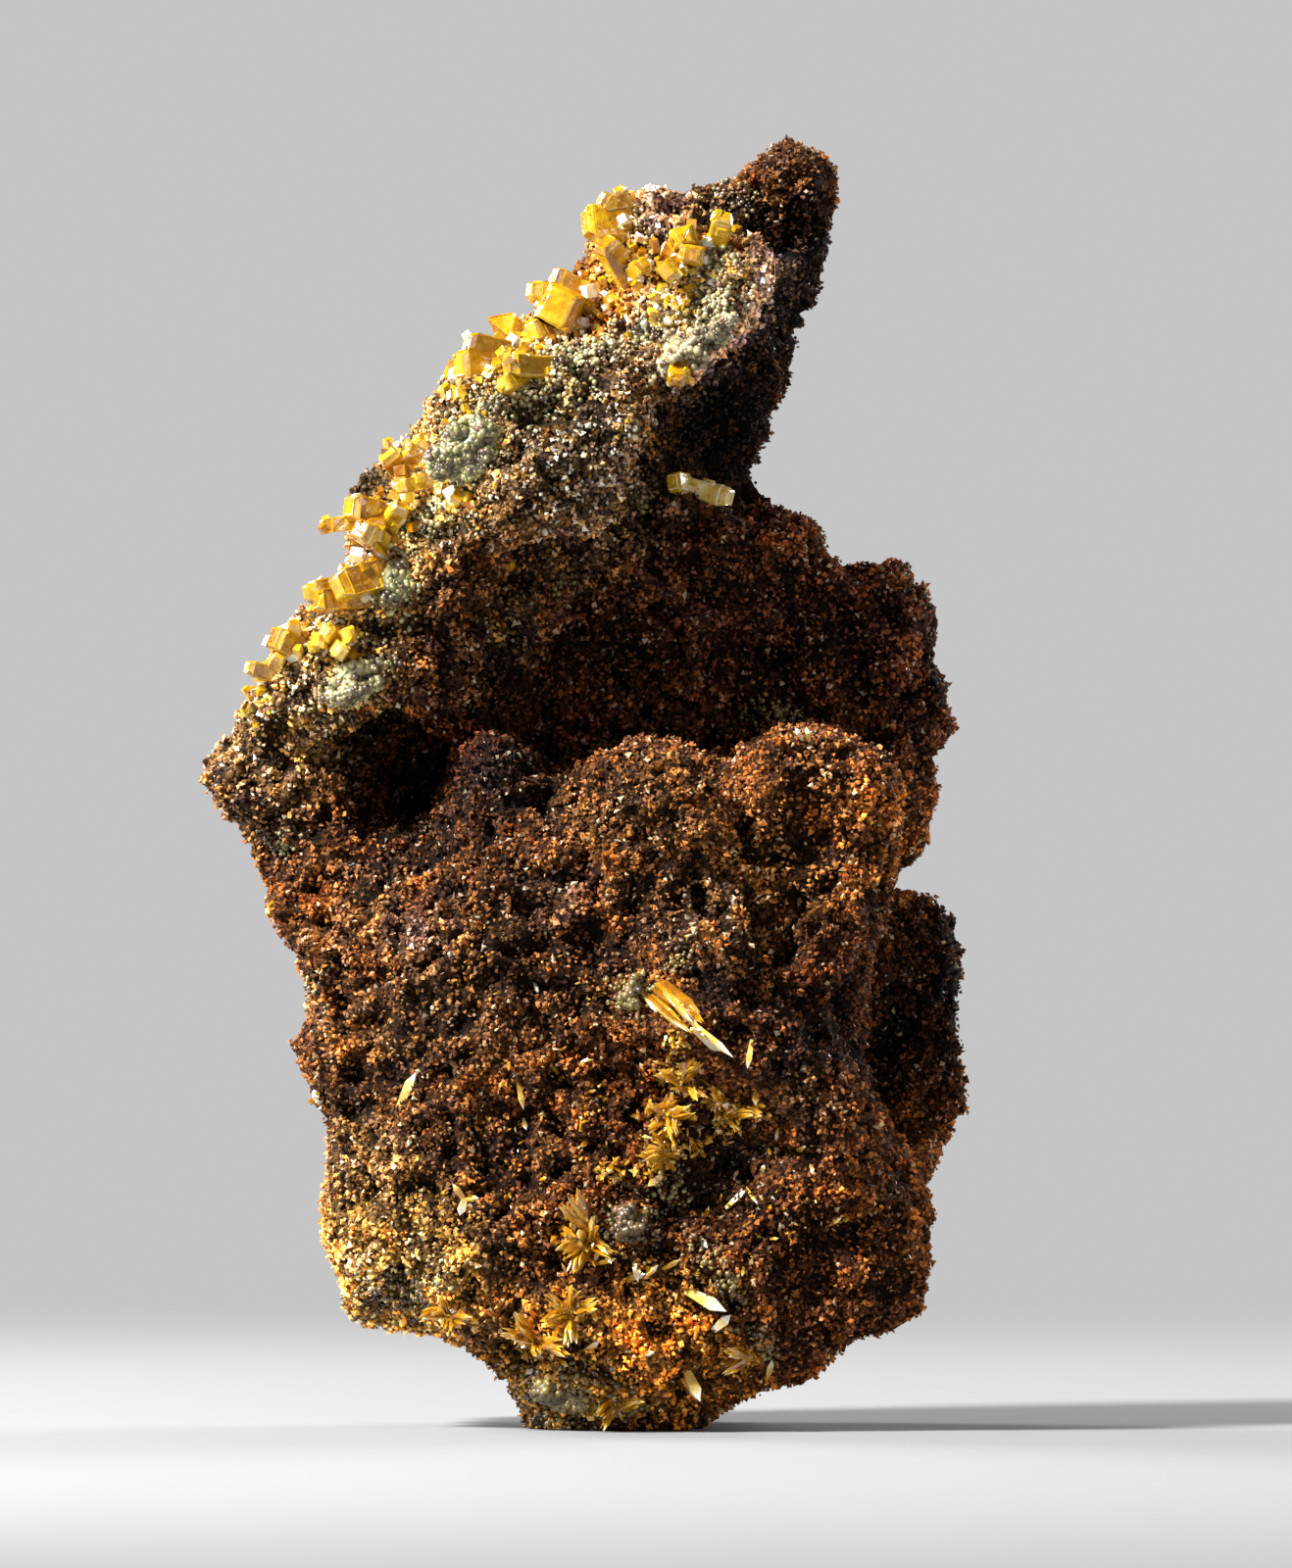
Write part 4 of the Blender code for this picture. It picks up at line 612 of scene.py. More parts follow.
def stepped(bm, name, dice):
    """Growth steps: each larger face has a smaller one just above or below it."""
    pale = bm.verts.layers.float.new("pale")
    for vert in bm.verts:
        vert[pale] = EDGE_PALE + paler_at(name, vert.co.x)
    bmesh.ops.dissolve_limit(bm, angle_limit=math.radians(3), verts=bm.verts, edges=bm.edges)
    wide = [face for face in bm.faces if face.calc_area() > STEP_LEAST_AREA * MM * MM]
    for face in wide:
        rise = STEP_HEIGHT * dice.choice([-1.0, 1.0, 1.4])
        bmesh.ops.inset_individual(bm, faces=[face], thickness=STEP_WIDTH * dice.uniform(0.7, 1.5), depth=rise)
        shade = FACE_PALE * dice.uniform(0.0, 2.4) + paler_at(name, face.calc_center_median().x)
        for vert in face.verts:
            vert[pale] = shade


def worn(bm):
    bm.normal_update()
    sharp = [edge for edge in bm.edges if len(edge.link_faces) == 2 and edge.calc_face_angle(0) > math.radians(20)]
    bmesh.ops.bevel(bm, geom=sharp, offset=EDGE_WEAR, segments=1, profile=0.5, affect="EDGES", material=-1,
                    clamp_overlap=True)


def evenly(points, normals, rank):
    return np.ones(len(points))


def turns_along(axes, sides):
    """Rotation matrices that take +Z to the axes, and +X as near as can be to the sides."""
    axes = axes / np.linalg.norm(axes, axis=1)[:, None]
    across = np.cross(axes, sides)
    across /= np.linalg.norm(across, axis=1)[:, None]
    return np.stack([np.cross(across, axes), across, axes], axis=2)


def grown_crystal(name, dice):
    """The node with growth steps and with small blocks that grew parallel to it."""
    crystals = node_copy(name)
    stepped(crystals, name, dice)
    worn(crystals)
    mesh = bpy.data.meshes.new(name)
    crystals.to_mesh(mesh)
    count = int(sum(face.calc_area() for face in crystals.faces) / MM ** 2 * OVERGROWTH)
    spots, normals, _, sides = places_on(mesh, count, evenly, dice)
    width = dice.uniform(0, 1, count) ** 2 * (OVERGROWTH_SIZE[1] - OVERGROWTH_SIZE[0]) + OVERGROWTH_SIZE[0]
    sizes = np.c_[width, width * dice.uniform(0.5, 1.3, count), width * dice.uniform(0.35, 0.8, count)] * MM
    turns = turns_along(normals + dice.normal(0, 0.05, normals.shape), sides)
    blocks = joined_mesh("blocks", BLOCK_CORNERS, BLOCK_FACES, spots - normals * sizes[:, 2:] * 0.2, turns, sizes)
    shades = dice.choice([0.0, 0.2, 0.4, 0.8], count, p=[0.3, 0.35, 0.25, 0.1]) + paler_at(name, spots[:, 0])
    set_attribute(blocks, "pale", np.repeat(shades, len(BLOCK_CORNERS)))
    crystals.from_mesh(blocks)
    return piece_of(crystals, name + "_grown", wulfenite)


def surface_at(tree, x, z, facing):
    """The outermost surface point and normal behind (x, z) in the front or back view, in mm."""
    point, normal, _, _ = tree.ray_cast(Vector((x, facing * 100, z)) * MM, Vector((0, -facing, 0)))
    if point is None:
        point, normal, _, _ = tree.find_nearest(Vector((x, facing * 10, z)) * MM)
    return point, normal


def blade_tips(bm):
    """The root of a cluster of blades, and the ends of its blades."""
    deepest = max(vert.co.y for vert in bm.verts)
    reach = deepest - min(vert.co.y for vert in bm.verts)
    seated = [vert.co for vert in bm.verts if vert.co.y > deepest - 0.35 * reach]
    root = sum(seated, Vector()) / len(seated)
    far = {vert: (vert.co - root).length for vert in bm.verts}
    least = 0.45 * max(far.values())
    ends = [vert.co.copy() for vert in bm.verts
            if far[vert] > least and all(far[edge.other_vert(vert)] < far[vert] for edge in vert.link_edges)]
    return root, ends


def lath_mesh(name, middles, turns, sizes, shift):
    mesh = joined_mesh(name, LATH_CORNERS, LATH_FACES, middles, turns, sizes)
    set_attribute(mesh, "pale", (LATH_PALE[None] + shift[:, None]).ravel())
    return mesh


def bladed_crystal(name, dice):
    """The node's blades, each as a bundle of thin ones that reaches its tip."""
    crystals = node_copy(name)
    root, ends = blade_tips(crystals)
    crystals.free()
    middles, axes, sizes = [], [], []
    for end in ends:
        for _ in range(BLADES_A_TIP):
            splay = min(MOST_SPLAY, SPLAY * (end - root).length)
            tip = root.lerp(end, dice.uniform(0.8, 1.0)) + Vector(dice.normal(0, splay, 3))
            start = root.lerp(end, dice.uniform(0.0, 0.25)) + Vector(dice.normal(0, splay, 3))
            length = (tip - start).length / 2
            width = min(0.5 * MM, max(0.16 * MM, length * dice.uniform(0.09, 0.18)))
            middles.append((tip + start) / 2)
            axes.append(tip - start)
            sizes.append((width, width * 0.55, length))
    turns = turns_along(np.array(axes), dice.normal(size=(len(axes), 3)))
    mesh = lath_mesh(name + "_grown", np.array(middles), turns, np.array(sizes), dice.uniform(-0.1, 0.3, len(axes)))
    return finished(mesh, name + "_grown", amber_wulfenite)


def large_blades(name):
    """The two largest blades, each a pack of parallel ones: orange along their backs and white at their edges."""
    crystals = node_copy(name)
    tree = BVHTree.FromBMesh(crystals)
    crystals.free()
    middles, axes, sizes = [], [], []
    for root_x, root_z, tip_x, tip_z, width, toward, _ in LARGE_BLADES:
        root, tip = (surface_at(tree, x, z, -1)[0] for x, z in ((root_x, root_z), (tip_x, tip_z)))
        root, tip = (Vector((x * MM, place.y - toward * MM, z * MM))
                     for x, z, place in ((root_x, root_z, root), (tip_x, tip_z, tip)))
        middles.append((root + tip) / 2)
        axes.append(tip - root)
        sizes.append((width / 2 * MM, width * 0.35 * MM, (tip - root).length / 2))
    turns = turns_along(np.array(axes), np.tile((0.3, -1.0, 0.2), (len(axes), 1)))
    mesh = lath_mesh(name + "_grown", np.array(middles), turns, np.array(sizes), np.array(LARGE_BLADES)[:, 6])
    return finished(mesh, name + "_grown", amber_wulfenite)


crystal_dice = np.random.default_rng(21)
for name in crystal_nodes:
    if name == "wulfenite_large_blades":
        piece = large_blades(name)
    elif any(word in name for word in BLADE_NODES):
        piece = bladed_crystal(name, crystal_dice)
    else:
        piece = grown_crystal(name, crystal_dice)
    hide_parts(name)

# Small wulfenite crystals
#
# Blocks of half a millimetre to two millimetres crowd between the larger crystals of the shelf, the ridge and
# the display side, and thin blades and slivers lie on the lower front. They are joined meshes.

# A patch: x, z, half width, half height and lean in mm and degrees, how many, and their half widths in mm.
FRONT_BLOCKS = [
    (-0.5, 140.6, 2.4, 2.0, 20, 26, 0.3, 0.8), (2.0, 135.4, 3.6, 3.0, 30, 46, 0.3, 0.7), (8.0, 136.4, 3.4, 2.4, 0, 40, 0.3, 0.8),
    (6.0, 130.4, 7.0, 2.6, 20, 60, 0.25, 0.6), (-4.5, 131.0, 4.4, 3.2, 40, 60, 0.35, 1.0), (-7.5, 127.6, 3.6, 2.0, 30, 36, 0.35, 0.9),
    (-13.0, 124.4, 4.6, 2.4, 20, 50, 0.35, 1.0), (-18.5, 121.4, 2.4, 1.6, 30, 20, 0.3, 0.8), (-16.8, 118.4, 2.6, 1.8, 30, 16, 0.25, 0.6),
    (-23.5, 112.0, 3.4, 2.6, 40, 34, 0.3, 0.9), (-19.0, 109.0, 2.6, 2.2, 0, 22, 0.3, 0.9), (-27.5, 105.0, 4.0, 3.4, 50, 44, 0.35, 0.9),
    (-30.5, 97.6, 4.4, 2.4, 15, 34, 0.35, 0.9), (-32.6, 91.6, 2.6, 2.0, 20, 24, 0.3, 0.7), (-37.6, 91.4, 2.6, 2.0, 40, 28, 0.3, 0.8),
    (-40.6, 87.8, 3.0, 1.8, 40, 28, 0.3, 0.8), (-41.0, 83.6, 2.4, 2.0, 60, 12, 0.25, 0.5), (12.0, 138.6, 2.0, 1.6, 0, 14, 0.25, 0.6),
    (7.4, 122.8, 1.6, 1.4, 0, 8, 0.3, 0.6), (9.8, 109.4, 3.0, 1.2, -15, 10, 0.3, 0.6), (-12.0, 106.0, 6.0, 5.0, 0, 10, 0.2, 0.4),
    (2.0, 116.0, 5.0, 6.0, 0, 12, 0.2, 0.4), (-40.9, 60.6, 1.2, 0.8, 0, 6, 0.3, 0.6), (-35.0, 38.0, 1.2, 0.8, 0, 6, 0.3, 0.6),
    (-19.6, 13.6, 2.4, 1.6, -10, 20, 0.25, 0.6), (-9.0, 5.4, 1.8, 1.2, 0, 14, 0.25, 0.5), (0.0, 3.0, 2.6, 1.2, 0, 12, 0.25, 0.5),
]
BACK_BLOCKS = [
    (-4, 112, 16, 12, 30, 150, 0.4, 1.6), (12, 134, 7, 8, -20, 90, 0.4, 1.5), (-2, 88, 22, 10, 0, 170, 0.4, 1.7),
    (24, 86, 8, 8, 0, 60, 0.4, 1.3), (-4, 66, 22, 8, 0, 120, 0.4, 1.4), (6, 44, 18, 10, 0, 120, 0.4, 1.5),
    (-18, 40, 8, 12, 0, 60, 0.4, 1.2), (6, 24, 14, 7, 0, 60, 0.3, 1.1), (-30, 84, 6, 6, 0, 40, 0.4, 1.2),
]


def patch_places(patch, count, tree, facing, dice):
    x, z, half_width, half_height, lean = patch
    turn = math.radians(lean)
    points, normals = [], []
    for u, v in np.clip(dice.normal(0, 0.5, (count, 2)), -1.15, 1.15) * (half_width, half_height):
        across, up = u * math.cos(turn) - v * math.sin(turn), u * math.sin(turn) + v * math.cos(turn)
        point, normal = surface_at(tree, x + across, z + up, facing)
        points.append(point)
        normals.append(normal)
    return np.array(points), np.array(normals)


def small_blocks(name, patches, facing, white_share, tree, seed):
    dice = np.random.default_rng(seed)
    middles, axes, sizes = [], [], []
    for *patch, count, least, most in patches:
        points, normals = patch_places(patch, count, tree, facing, dice)
        width = least + (most - least) * dice.random(count) ** 2
        size = np.c_[width, width * dice.uniform(0.5, 1.0, count), width * dice.uniform(0.7, 1.9, count)] * MM
        middles.append(points + normals * (GRAIN_COVER + size[:, 2:] * 0.1))
        axes.append(normals + dice.normal(0, 0.75, normals.shape) + (0, 0.35 * facing, 0))
        sizes.append(size)
    middles, sizes = np.concatenate(middles), np.concatenate(sizes)
    middles[:, 2] = np.maximum(middles[:, 2], sizes.max(axis=1) * 1.5)
    turns = turns_along(np.concatenate(axes), dice.normal(size=middles.shape))
    mesh = joined_mesh(name, BLOCK_CORNERS, BLOCK_FACES, middles, turns, sizes)
    shares = (0.3, 0.4, 0.3 - white_share, white_share)
    shades = dice.choice([0.0, 0.25, 0.5, 1.0], len(middles), p=shares)
    set_attribute(mesh, "pale", np.repeat(shades, len(BLOCK_CORNERS)))
    return finished(mesh, name, wulfenite)


def rock_caster(piece):
    bm = bmesh.new()
    bm.from_mesh(piece.data)
    tree = BVHTree.FromBMesh(bm)
    bm.free()
    return tree


rock_tree = rock_caster(limonite_rock)
small_blocks("wulfenite_small_blocks_front", FRONT_BLOCKS, -1, 0.2, rock_tree, 41)
small_blocks("wulfenite_small_blocks_back", BACK_BLOCKS, 1, 0.04, rock_tree, 42)

# Blades: the root and tip (x, z) in the front view, how far the tip stands out, and the width, in mm.
LOWER_BLADES = [
    (15.7, 45.3, 15.2, 42.3, 0.8, 0.7), (-11.3, 40.6, -10.6, 37.5, 0.6, 0.6), (-10.6, 36.2, -10.3, 35.0, 0.6, 0.5),
    (8.7, 39.8, 9.6, 39.7, 0.8, 0.7), (20.2, 32.4, 21.9, 33.1, 0.7, 0.7), (22.5, 30.9, 22.8, 30.0, 0.6, 0.6),
    (16.8, 30.0, 17.2, 30.9, 0.6, 0.5), (2.2, 34.3, 4.2, 34.0, 0.6, 0.6), (12.9, 26.0, 15.0, 27.9, 0.5, 0.7),
    (15.3, 28.1, 16.4, 26.5, 0.8, 0.7), (-9.4, 51.9, -8.9, 50.9, 0.7, 0.6), (18.8, 35.1, 18.5, 33.9, 0.5, 0.4),
    (22.4, 79.8, 22.1, 81.4, 0.9, 0.9), (21.6, 80.0, 20.8, 81.3, 0.9, 0.8), (-24.9, 37.6, -23.1, 41.4, 1.0, 1.2),
    (8.4, 16.4, 12.6, 14.2, 1.2, 1.5), (8.3, 7.0, 9.7, 3.8, 1.2, 1.3), (17.6, 6.0, 18.1, 8.2, 1.0, 0.8),
    (11.4, 12.0, 13.2, 13.6, 1.0, 1.1), (-17.4, 27.0, -18.7, 28.7, 0.9, 0.8), (-17.4, 27.0, -17.9, 25.2, 0.9, 0.9),
    (-17.4, 27.0, -15.8, 27.1, 0.9, 0.7), (1.0, 17.6, 3.4, 18.4, 0.9, 0.8), (3.4, 18.0, 4.9, 19.4, 0.8, 0.7),
    (2.2, 19.6, 2.6, 17.6, 0.8, 0.7), (5.6, 19.0, 7.4, 20.0, 0.7, 0.6), (-3.4, 9.6, -1.8, 10.6, 0.7, 0.6),
    (3.0, 9.0, 4.4, 9.4, 0.6, 0.6), (9.8, 22.6, 10.6, 21.4, 0.6, 0.6), (24.6, 24.0, 26.0, 24.8, 0.6, 0.6),
]
SPLINTER_PALE = 0.45  # these single blades are paler than the crusts
# Crusts of fine blades: x, z, half width, half height, lean, how many, and their half lengths in mm.
BLADE_CRUSTS = [
    (7.4, 45.6, 1.4, 2.4, -20, 40, 0.4, 0.9), (6.6, 41.6, 2.6, 1.4, 20, 60, 0.4, 1.1), (10.2, 39.2, 3.0, 1.2, -25, 60, 0.4, 1.0),
    (15.0, 37.4, 3.2, 1.4, 0, 80, 0.4, 1.2), (12.8, 35.4, 1.6, 1.6, 0, 34, 0.4, 0.9), (6.2, 36.2, 3.0, 2.4, 0, 100, 0.4, 1.2),
    (7.6, 33.0, 3.0, 1.2, 20, 50, 0.5, 1.2), (4.4, 31.0, 2.0, 1.6, 0, 40, 0.5, 1.3), (-1.0, 29.8, 2.2, 1.4, 0, 60, 0.4, 0.9),
    (-4.6, 23.0, 2.4, 3.6, 10, 60, 0.4, 1.4), (-5.2, 13.8, 2.6, 2.4, 0, 60, 0.4, 1.1), (-9.6, 10.6, 3.4, 1.8, -20, 50, 0.4, 1.2),
    (-19.0, 13.4, 4.4, 1.6, -10, 60, 0.3, 0.8), (-9.2, 5.2, 1.8, 1.2, 0, 30, 0.3, 0.8), (0.4, 3.2, 3.4, 1.2, 0, 40, 0.3, 0.9),
    (10.0, 17.6, 2.6, 1.0, -50, 24, 0.3, 0.8), (15.0, 9.0, 3.0, 1.4, 10, 24, 0.4, 1.0), (2.6, 18.4, 2.6, 1.2, 10, 26, 0.3, 0.8),
    (-2.0, 50.0, 1.6, 1.2, 0, 14, 0.3, 0.6), (-22, 30, 8, 8, 0, 40, 0.3, 0.7), (-6, 36, 9, 9, 0, 60, 0.3, 0.7),
    (20, 24, 9, 8, 0, 60, 0.3, 0.7), (-14, 54, 10, 8, 0, 24, 0.25, 0.5), (4, 60, 12, 8, 0, 20, 0.25, 0.5),
]


def blade_piece(name, tree, seed):
    dice = np.random.default_rng(seed)
    middles, axes, sizes = [], [], []
    for root_x, root_z, tip_x, tip_z, toward, width in LOWER_BLADES:
        root, _ = surface_at(tree, root_x, root_z, -1)
        tip, _ = surface_at(tree, tip_x, tip_z, -1)
        tip = Vector((tip.x, min(tip.y, root.y) - toward * MM, tip.z))
        middles.append([(root + tip) / 2])
        axes.append([tip - root])
        sizes.append([(width / 2 * MM, width * 0.3 * MM, (tip - root).length * 0.56)])
    for *patch, count, least, most in BLADE_CRUSTS:
        points, normals = patch_places(patch, count, tree, -1, dice)
        length = (least + (most - least) * dice.random(count) ** 2) * MM
        width = length * dice.uniform(0.2, 0.45, count)
        middles.append(points + normals * (GRAIN_COVER + length[:, None] * 0.3))
        axes.append(normals + dice.normal(0, 0.8, normals.shape) + (0, -0.3, 0))
        sizes.append(np.c_[width, width * 0.6, length])
    middles, sizes = np.concatenate(middles), np.concatenate(sizes)
    middles[:, 2] = np.maximum(middles[:, 2], sizes.max(axis=1))
    turns = turns_along(np.concatenate(axes), dice.normal(size=middles.shape))
    shift = dice.uniform(-0.1, 0.3, len(middles))
    shift[:len(LOWER_BLADES)] += SPLINTER_PALE
    mesh = lath_mesh(name, middles, turns, sizes, shift)
    return finished(mesh, name, amber_wulfenite)


blade_piece("wulfenite_fine_blades", rock_tree, 43)

# Mimetite crusts
#
# Lead arsenate in grape-like skins over the limonite: balls under a millimetre across, crowded together. They
# are grey-green to yellow-green with paler tops above, and olive-brown round the foot.

BALL_SIZE = (0.14, 0.42)  # radii, mm
CROWDING = 3.4  # balls for each mm2 of a crust
CRUST_BALL_SIZE = (0.22, 0.62)  # radii of the balls of the thick crusts, mm
CRUST_WAVE = 2.0 * MM  # how far a thick crust's lumps stand above its hollows
EARTHY, EARTHY_SHARE = "6E4E30", 0.22  # balls that limonite has stained
GREEN, FROSTED, OLIVE, CREAM, DARK = "B0AA70", "C8C08C", "8E7A38", "CCBE92", "86683A"
# A skin: x, z, half width, half height and lean in mm and degrees, the number of balls, and its colour.
FRONT_SKINS = [
    (-17.5, 113.5, 5.6, 3.8, 40, 420, GREEN), (-14, 119, 5.0, 2.0, 30, 240, FROSTED), (-3, 125, 7.0, 1.8, 12, 480, FROSTED),
    (9.5, 126.6, 6.8, 2.4, 40, 420, CREAM), (3, 128, 5.0, 2.0, 10, 240, CREAM), (11.5, 132.0, 4.0, 3.4, 45, 300, CREAM), (10.2, 134.4, 2.2, 4.2, -20, 200, GREEN),
    (0.8, 141.6, 1.4, 2.2, 0, 70, GREEN), (14.5, 143.0, 4.5, 2.0, -20, 110, OLIVE), (-30.5, 86.5, 5.0, 2.4, 32, 320, FROSTED),
    (-25.5, 97.6, 2.8, 3.8, -20, 220, FROSTED), (-23, 104, 4.0, 2.4, 30, 120, GREEN), (-6, 98.5, 3.2, 2.6, 0, 60, OLIVE),
    (18.8, 82.6, 3.8, 2.0, -10, 120, OLIVE), (2.0, 50.6, 2.6, 2.4, 0, 150, OLIVE), (7.0, 54.0, 3.0, 1.2, 40, 70, OLIVE),
    (1.6, 24.2, 3.8, 3.4, -15, 260, OLIVE), (6.4, 28.4, 2.4, 2.6, 0, 90, GREEN), (10.5, 21.0, 3.2, 1.6, -40, 90, OLIVE),
    (13.5, 16.5, 2.6, 1.4, -50, 80, OLIVE), (-6.0, 4.4, 7.0, 4.2, 0, 480, OLIVE), (2.0, 3.0, 4.0, 1.6, 10, 110, OLIVE),
    (17.0, 10.5, 3.6, 1.2, -30, 80, OLIVE), (-25, 15.5, 6.5, 3.0, 8, 300, OLIVE), (-36, 50, 1.2, 3.0, 0, 60, GREEN),
    (-39, 68, 2.4, 1.4, -30, 60, GREEN), (33, 100, 2.4, 1.2, 0, 30, OLIVE), (38.2, 88, 1.4, 2.4, 0, 30, OLIVE),
    (24.5, 103, 1.6, 1.0, 0, 20, OLIVE), (3.5, 108, 1.6, 2.0, 0, 40, GREEN), (-8, 120, 5, 3, 20, 120, FROSTED),
]
BACK_SKINS = [
    (14.0, 78.5, 9.5, 6.0, -15, 900, GREEN), (-6.0, 50.0, 9.0, 7.0, 25, 900, GREEN), (-3, 106, 9, 6, 20, 420, FROSTED),
    (10, 120, 6, 5, 0, 240, GREEN), (-24, 78, 7, 5, 20, 260, FROSTED), (22, 60, 7, 4, 0, 240, GREEN),
    (4, 30, 8, 5, -10, 260, OLIVE), (-18, 26, 7, 4, 10, 180, OLIVE), (14, 140, 4, 3, 0, 120, GREEN), (30, 92, 4, 4, 0, 110, GREEN),
]
CRUST_COLOURS = {"mimetite_foot_crust": OLIVE, "mimetite_central_crust": OLIVE, "mimetite_round_boss": DARK,
                 "mimetite_shelf_crust": CREAM, "mimetite_lower_ridge_crust": FROSTED}


def ball():
    bm = bmesh.new()
    bmesh.ops.create_icosphere(bm, subdivisions=1, radius=1.0)
    return arrays_of(bm)


BALL_CORNERS, BALL_FACES = ball()


def ball_mesh(name, spots, normals, colours, least, most, dice):
    count = len(spots)
    radii = (least + (most - least) * dice.random(count) ** 2) * MM
    sizes = radii[:, None] * dice.uniform(0.85, 1.15, (count, 3))
    middles = spots + normals * radii[:, None] * 0.3
    middles[:, 2] = np.maximum(middles[:, 2], sizes.max(axis=1))
    mesh = joined_mesh(name, BALL_CORNERS, BALL_FACES, middles, random_turns(count, dice), sizes)
    stained = dice.random((count, 1)) < EARTHY_SHARE
    shades = np.where(stained, linear(EARTHY), colours) * dice.uniform(0.6, 1.5, (count, 1))
    set_attribute(mesh, "stain_and_painted_shade", np.repeat(shades, len(BALL_CORNERS), axis=0))
    return mesh


def mimetite_skin():
    """Mimetite: resinous and translucent, with a waxy gloss on each ball. Its colour drifts over a few
    millimetres, and what stands highest is nearly white."""
    material, tree, shader = new_material(
        "botryoidal_mimetite", ior=1.9, roughness=0.42, subsurface_weight=0.2, subsurface_scale=0.6 * MM)
    stain_and_painted_shade = add_node(tree, "Attribute", attribute_name="stain_and_painted_shade").outputs["Color"]
    place = add_node(tree, "TexCoord").outputs["Object"]
    drift = add_node(tree, "TexNoise", {"Vector": place, "Scale": 1 / (3.0 * MM), "Detail": 4.0})
    stops = ((0.34, "6E5C44"), (0.48, "C8C4B0"), (0.64, "FFFFFF"))
    shade = add_node(tree, "ValToRGB", {"Fac": drift.outputs["Fac"]}, stops).outputs["Color"]
    tinted = add_node(tree, "VectorMath", {0: stain_and_painted_shade, 1: shade}, operation="MULTIPLY").outputs[0]
    tree.links.new(tinted, shader.inputs["Base Color"])
    return material


mimetite = mimetite_skin()
for skins, facing, name, seed in ((FRONT_SKINS, -1, "mimetite_balls_front", 31), (BACK_SKINS, 1, "mimetite_balls_back", 32)):
    dice = np.random.default_rng(seed)
    spots, normals, colours = [], [], []
    for *patch, count, colour in skins:
        points, outward = patch_places(patch, count, rock_tree, facing, dice)
        spots.append(points)
        normals.append(outward)
        colours.append(np.tile(linear(colour), (count, 1)))
    lifted = np.concatenate(spots) + np.concatenate(normals) * GRAIN_COVER
    mesh = ball_mesh(name, lifted, np.concatenate(normals), np.concatenate(colours), *BALL_SIZE, dice)
    finished(mesh, name, mimetite, smooth=True)


crust_dice = np.random.default_rng(33)
for name in crust_nodes:
    core = node_copy(name)
    bmesh.ops.subdivide_edges(core, edges=core.edges, cuts=2, use_grid_fill=True)
    area = sum(face.calc_area() for face in core.faces) / MM ** 2
    core.normal_update()
    for vert in core.verts:
        wave = CRUST_WAVE * (noise.noise(vert.co / (2.4 * MM)) + 0.5 * noise.noise(vert.co / (1.1 * MM)) - 0.3)
        vert.co += vert.normal * (min(wave, 0.0) - CRUST_BALL_SIZE[0] * MM)
    shell = bpy.data.meshes.new(name + "_core")
    core.to_mesh(shell)
    colour = linear(CRUST_COLOURS.get(name, GREEN))
    set_attribute(shell, "stain_and_painted_shade", np.tile(colour, (len(shell.vertices), 1)) * 0.6)
    spots, normals, _, _ = places_on(shell, int(area * CROWDING), evenly, crust_dice)
    colours = np.tile(colour, (len(spots), 1))
    balls = ball_mesh(name + "_balls", spots, -normals * 0.5, colours, *CRUST_BALL_SIZE, crust_dice)
    core.clear()
    core.from_mesh(shell)
    core.from_mesh(balls)
    piece = piece_of(core, name + "_grapes", mimetite, smooth=True)
    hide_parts(name)

# Floor, light and camera
#
# A plain pale floor, a large soft key light from the upper left as in the photograph, a weak fill from the
# right, and a long lens level with the middle of the specimen.

FRAME_SCALE = 0.11433  # mm of specimen a pixel of the photograph
FRAME_HEIGHT = 1600  # pixels
MIDDLE_X = (659 - 628) * FRAME_SCALE * MM
MIDDLE_Z = (1455 - 800) * FRAME_SCALE * MM
CAMERA_DISTANCE = 2.4
STUDIO_GREY = (0.56, 0.56, 0.56, 1)
LIT_FLOOR = 0.16  # radius of the part of the floor that the lamps shade; round it the floor fades to the studio grey

floor_bm = bmesh.new()
bmesh.ops.create_circle(floor_bm, cap_ends=True, segments=64, radius=3.0)
floor_mesh = bpy.data.meshes.new("floor")
floor_bm.to_mesh(floor_mesh)
floor_bm.free()
floor = bpy.data.objects.new("floor", floor_mesh)
bpy.context.scene.collection.objects.link(floor)
floor_material, floor_tree, floor_shader = new_material("pale_floor", base_color=(0.29, 0.29, 0.29, 1), roughness=0.9)
floor_place = add_node(floor_tree, "TexCoord").outputs["Object"]
far = add_node(floor_tree, "VectorMath", {0: floor_place}, operation="LENGTH").outputs["Value"]
fade = add_node(floor_tree, "MapRange", {"Value": far, "From Min": LIT_FLOOR, "From Max": LIT_FLOOR * 4},
                interpolation_type="SMOOTHSTEP")
glow = add_node(floor_tree, "Emission", {"Color": STUDIO_GREY})
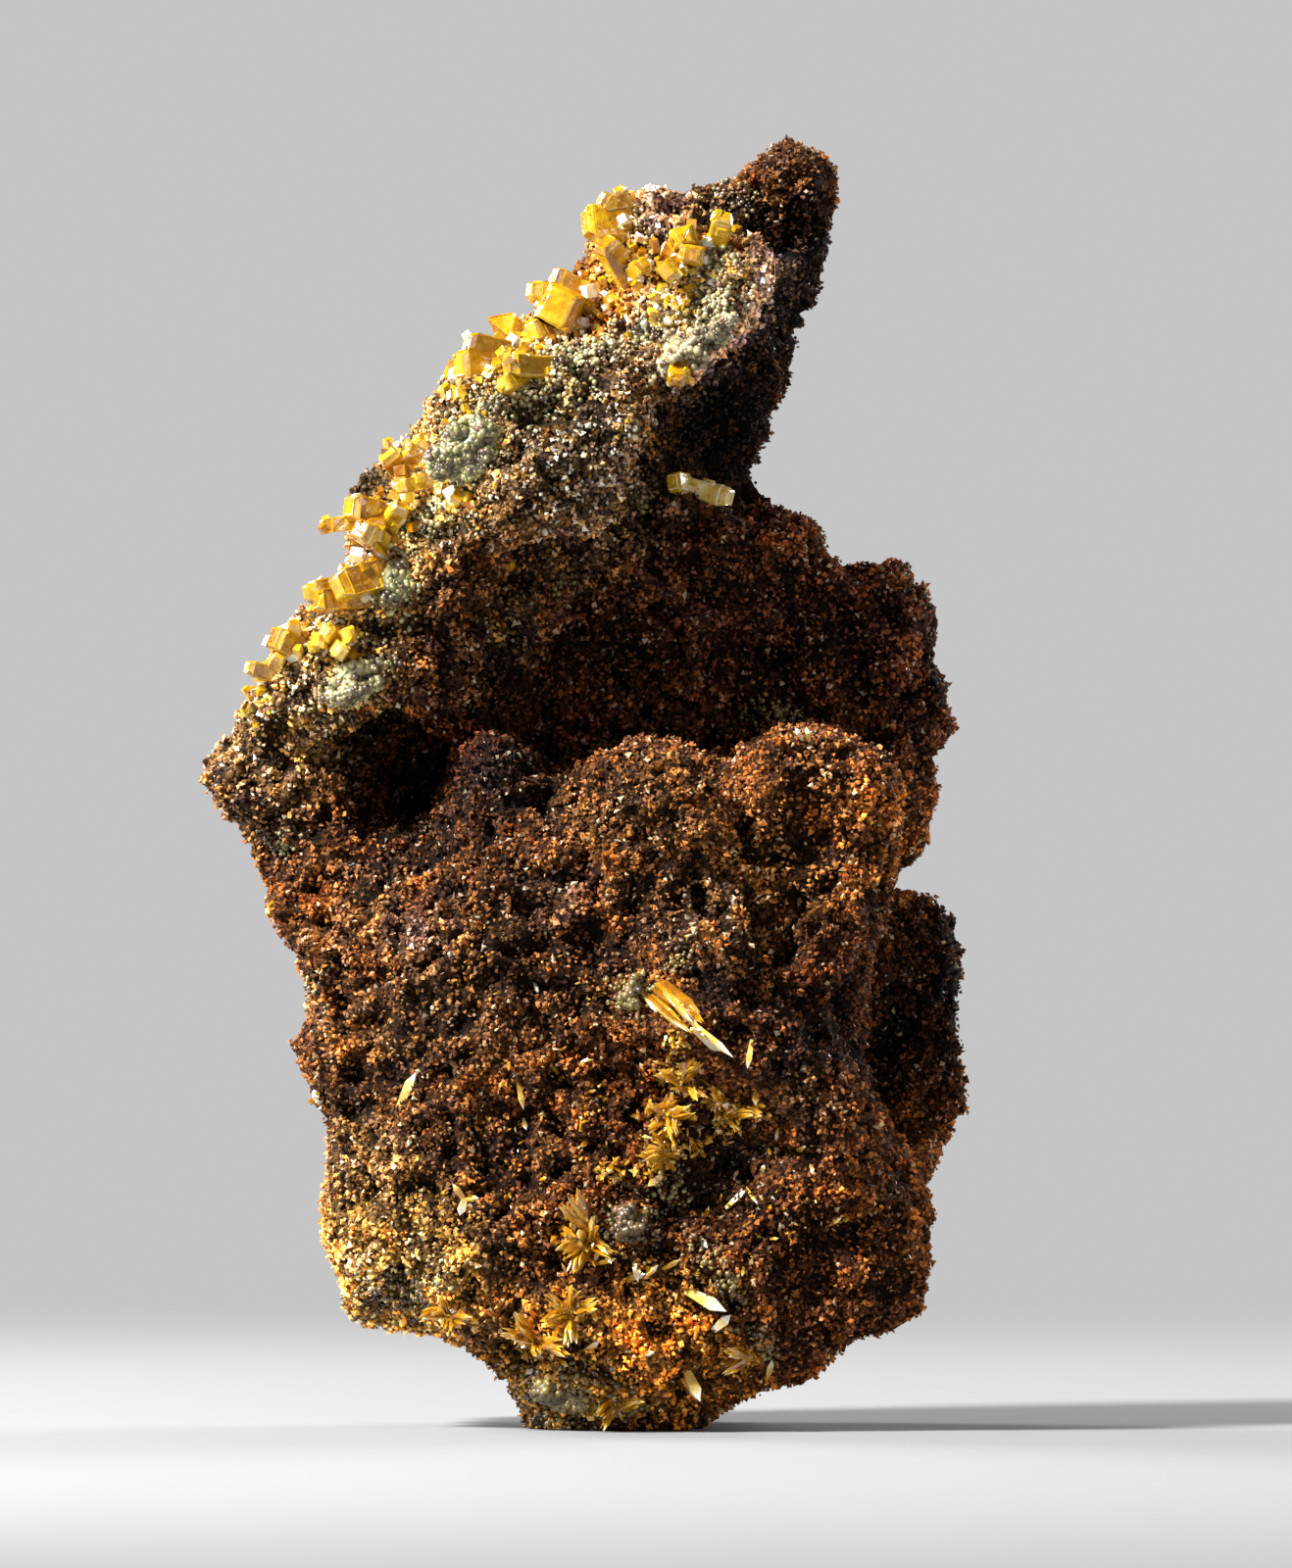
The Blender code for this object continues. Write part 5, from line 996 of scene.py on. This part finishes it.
both = add_node(floor_tree, "MixShader", {0: fade.outputs["Result"], 1: floor_shader.outputs[0], 2: glow.outputs[0]})
floor_tree.links.new(both.outputs[0], floor_tree.nodes["Material Output"].inputs["Surface"])
floor.data.materials.append(floor_material)


def add_light(name, place, aim, size, power, colour=(1, 1, 1)):
    lamp = bpy.data.lights.new(name, "AREA")
    lamp.shape = "DISK"
    lamp.size = size
    lamp.energy = power
    lamp.color = colour
    holder = bpy.data.objects.new(name, lamp)
    holder.location = place
    holder.rotation_euler = (Vector(aim) - Vector(place)).to_track_quat("-Z", "Y").to_euler()
    bpy.context.scene.collection.objects.link(holder)


add_light("key", (-0.62, -0.40, 0.66), (0, 0, 0.08), 0.20, 26)
add_light("fill", (0.50, -0.85, 0.20), (0, 0, 0.07), 0.5, 1.2)
add_light("rim", (-0.55, 0.45, 0.35), (0, 0, 0.08), 0.35, 7)
add_light("back_fill", (0.6, 0.6, 0.4), (0, 0, 0.07), 0.5, 7)

world = bpy.data.worlds.new("studio")
world.use_nodes = True
bpy.context.scene.world = world
sky = world.node_tree
seen = add_node(sky, "LightPath").outputs["Is Camera Ray"]
shown = add_node(sky, "Background", {"Color": STUDIO_GREY, "Strength": 1.0})
lit = add_node(sky, "Background", {"Color": (0.8, 0.85, 0.9, 1), "Strength": 0.08})
either = add_node(sky, "MixShader", {0: seen, 1: lit.outputs[0], 2: shown.outputs[0]})
sky.links.new(either.outputs[0], sky.nodes["World Output"].inputs["Surface"])
bpy.context.scene.view_settings.view_transform = "Standard"

lens = bpy.data.cameras.new("camera")
lens.sensor_fit = "VERTICAL"
lens.sensor_height = 24
lens.angle_y = 2 * math.atan(FRAME_HEIGHT * FRAME_SCALE * MM / 2 / CAMERA_DISTANCE)
lens.clip_start, lens.clip_end = 0.05, 20
camera = bpy.data.objects.new("camera", lens)
camera.location = (MIDDLE_X, -CAMERA_DISTANCE, MIDDLE_Z)
camera.rotation_euler = (math.radians(90), 0, 0)
bpy.context.scene.collection.objects.link(camera)
bpy.context.scene.camera = camera
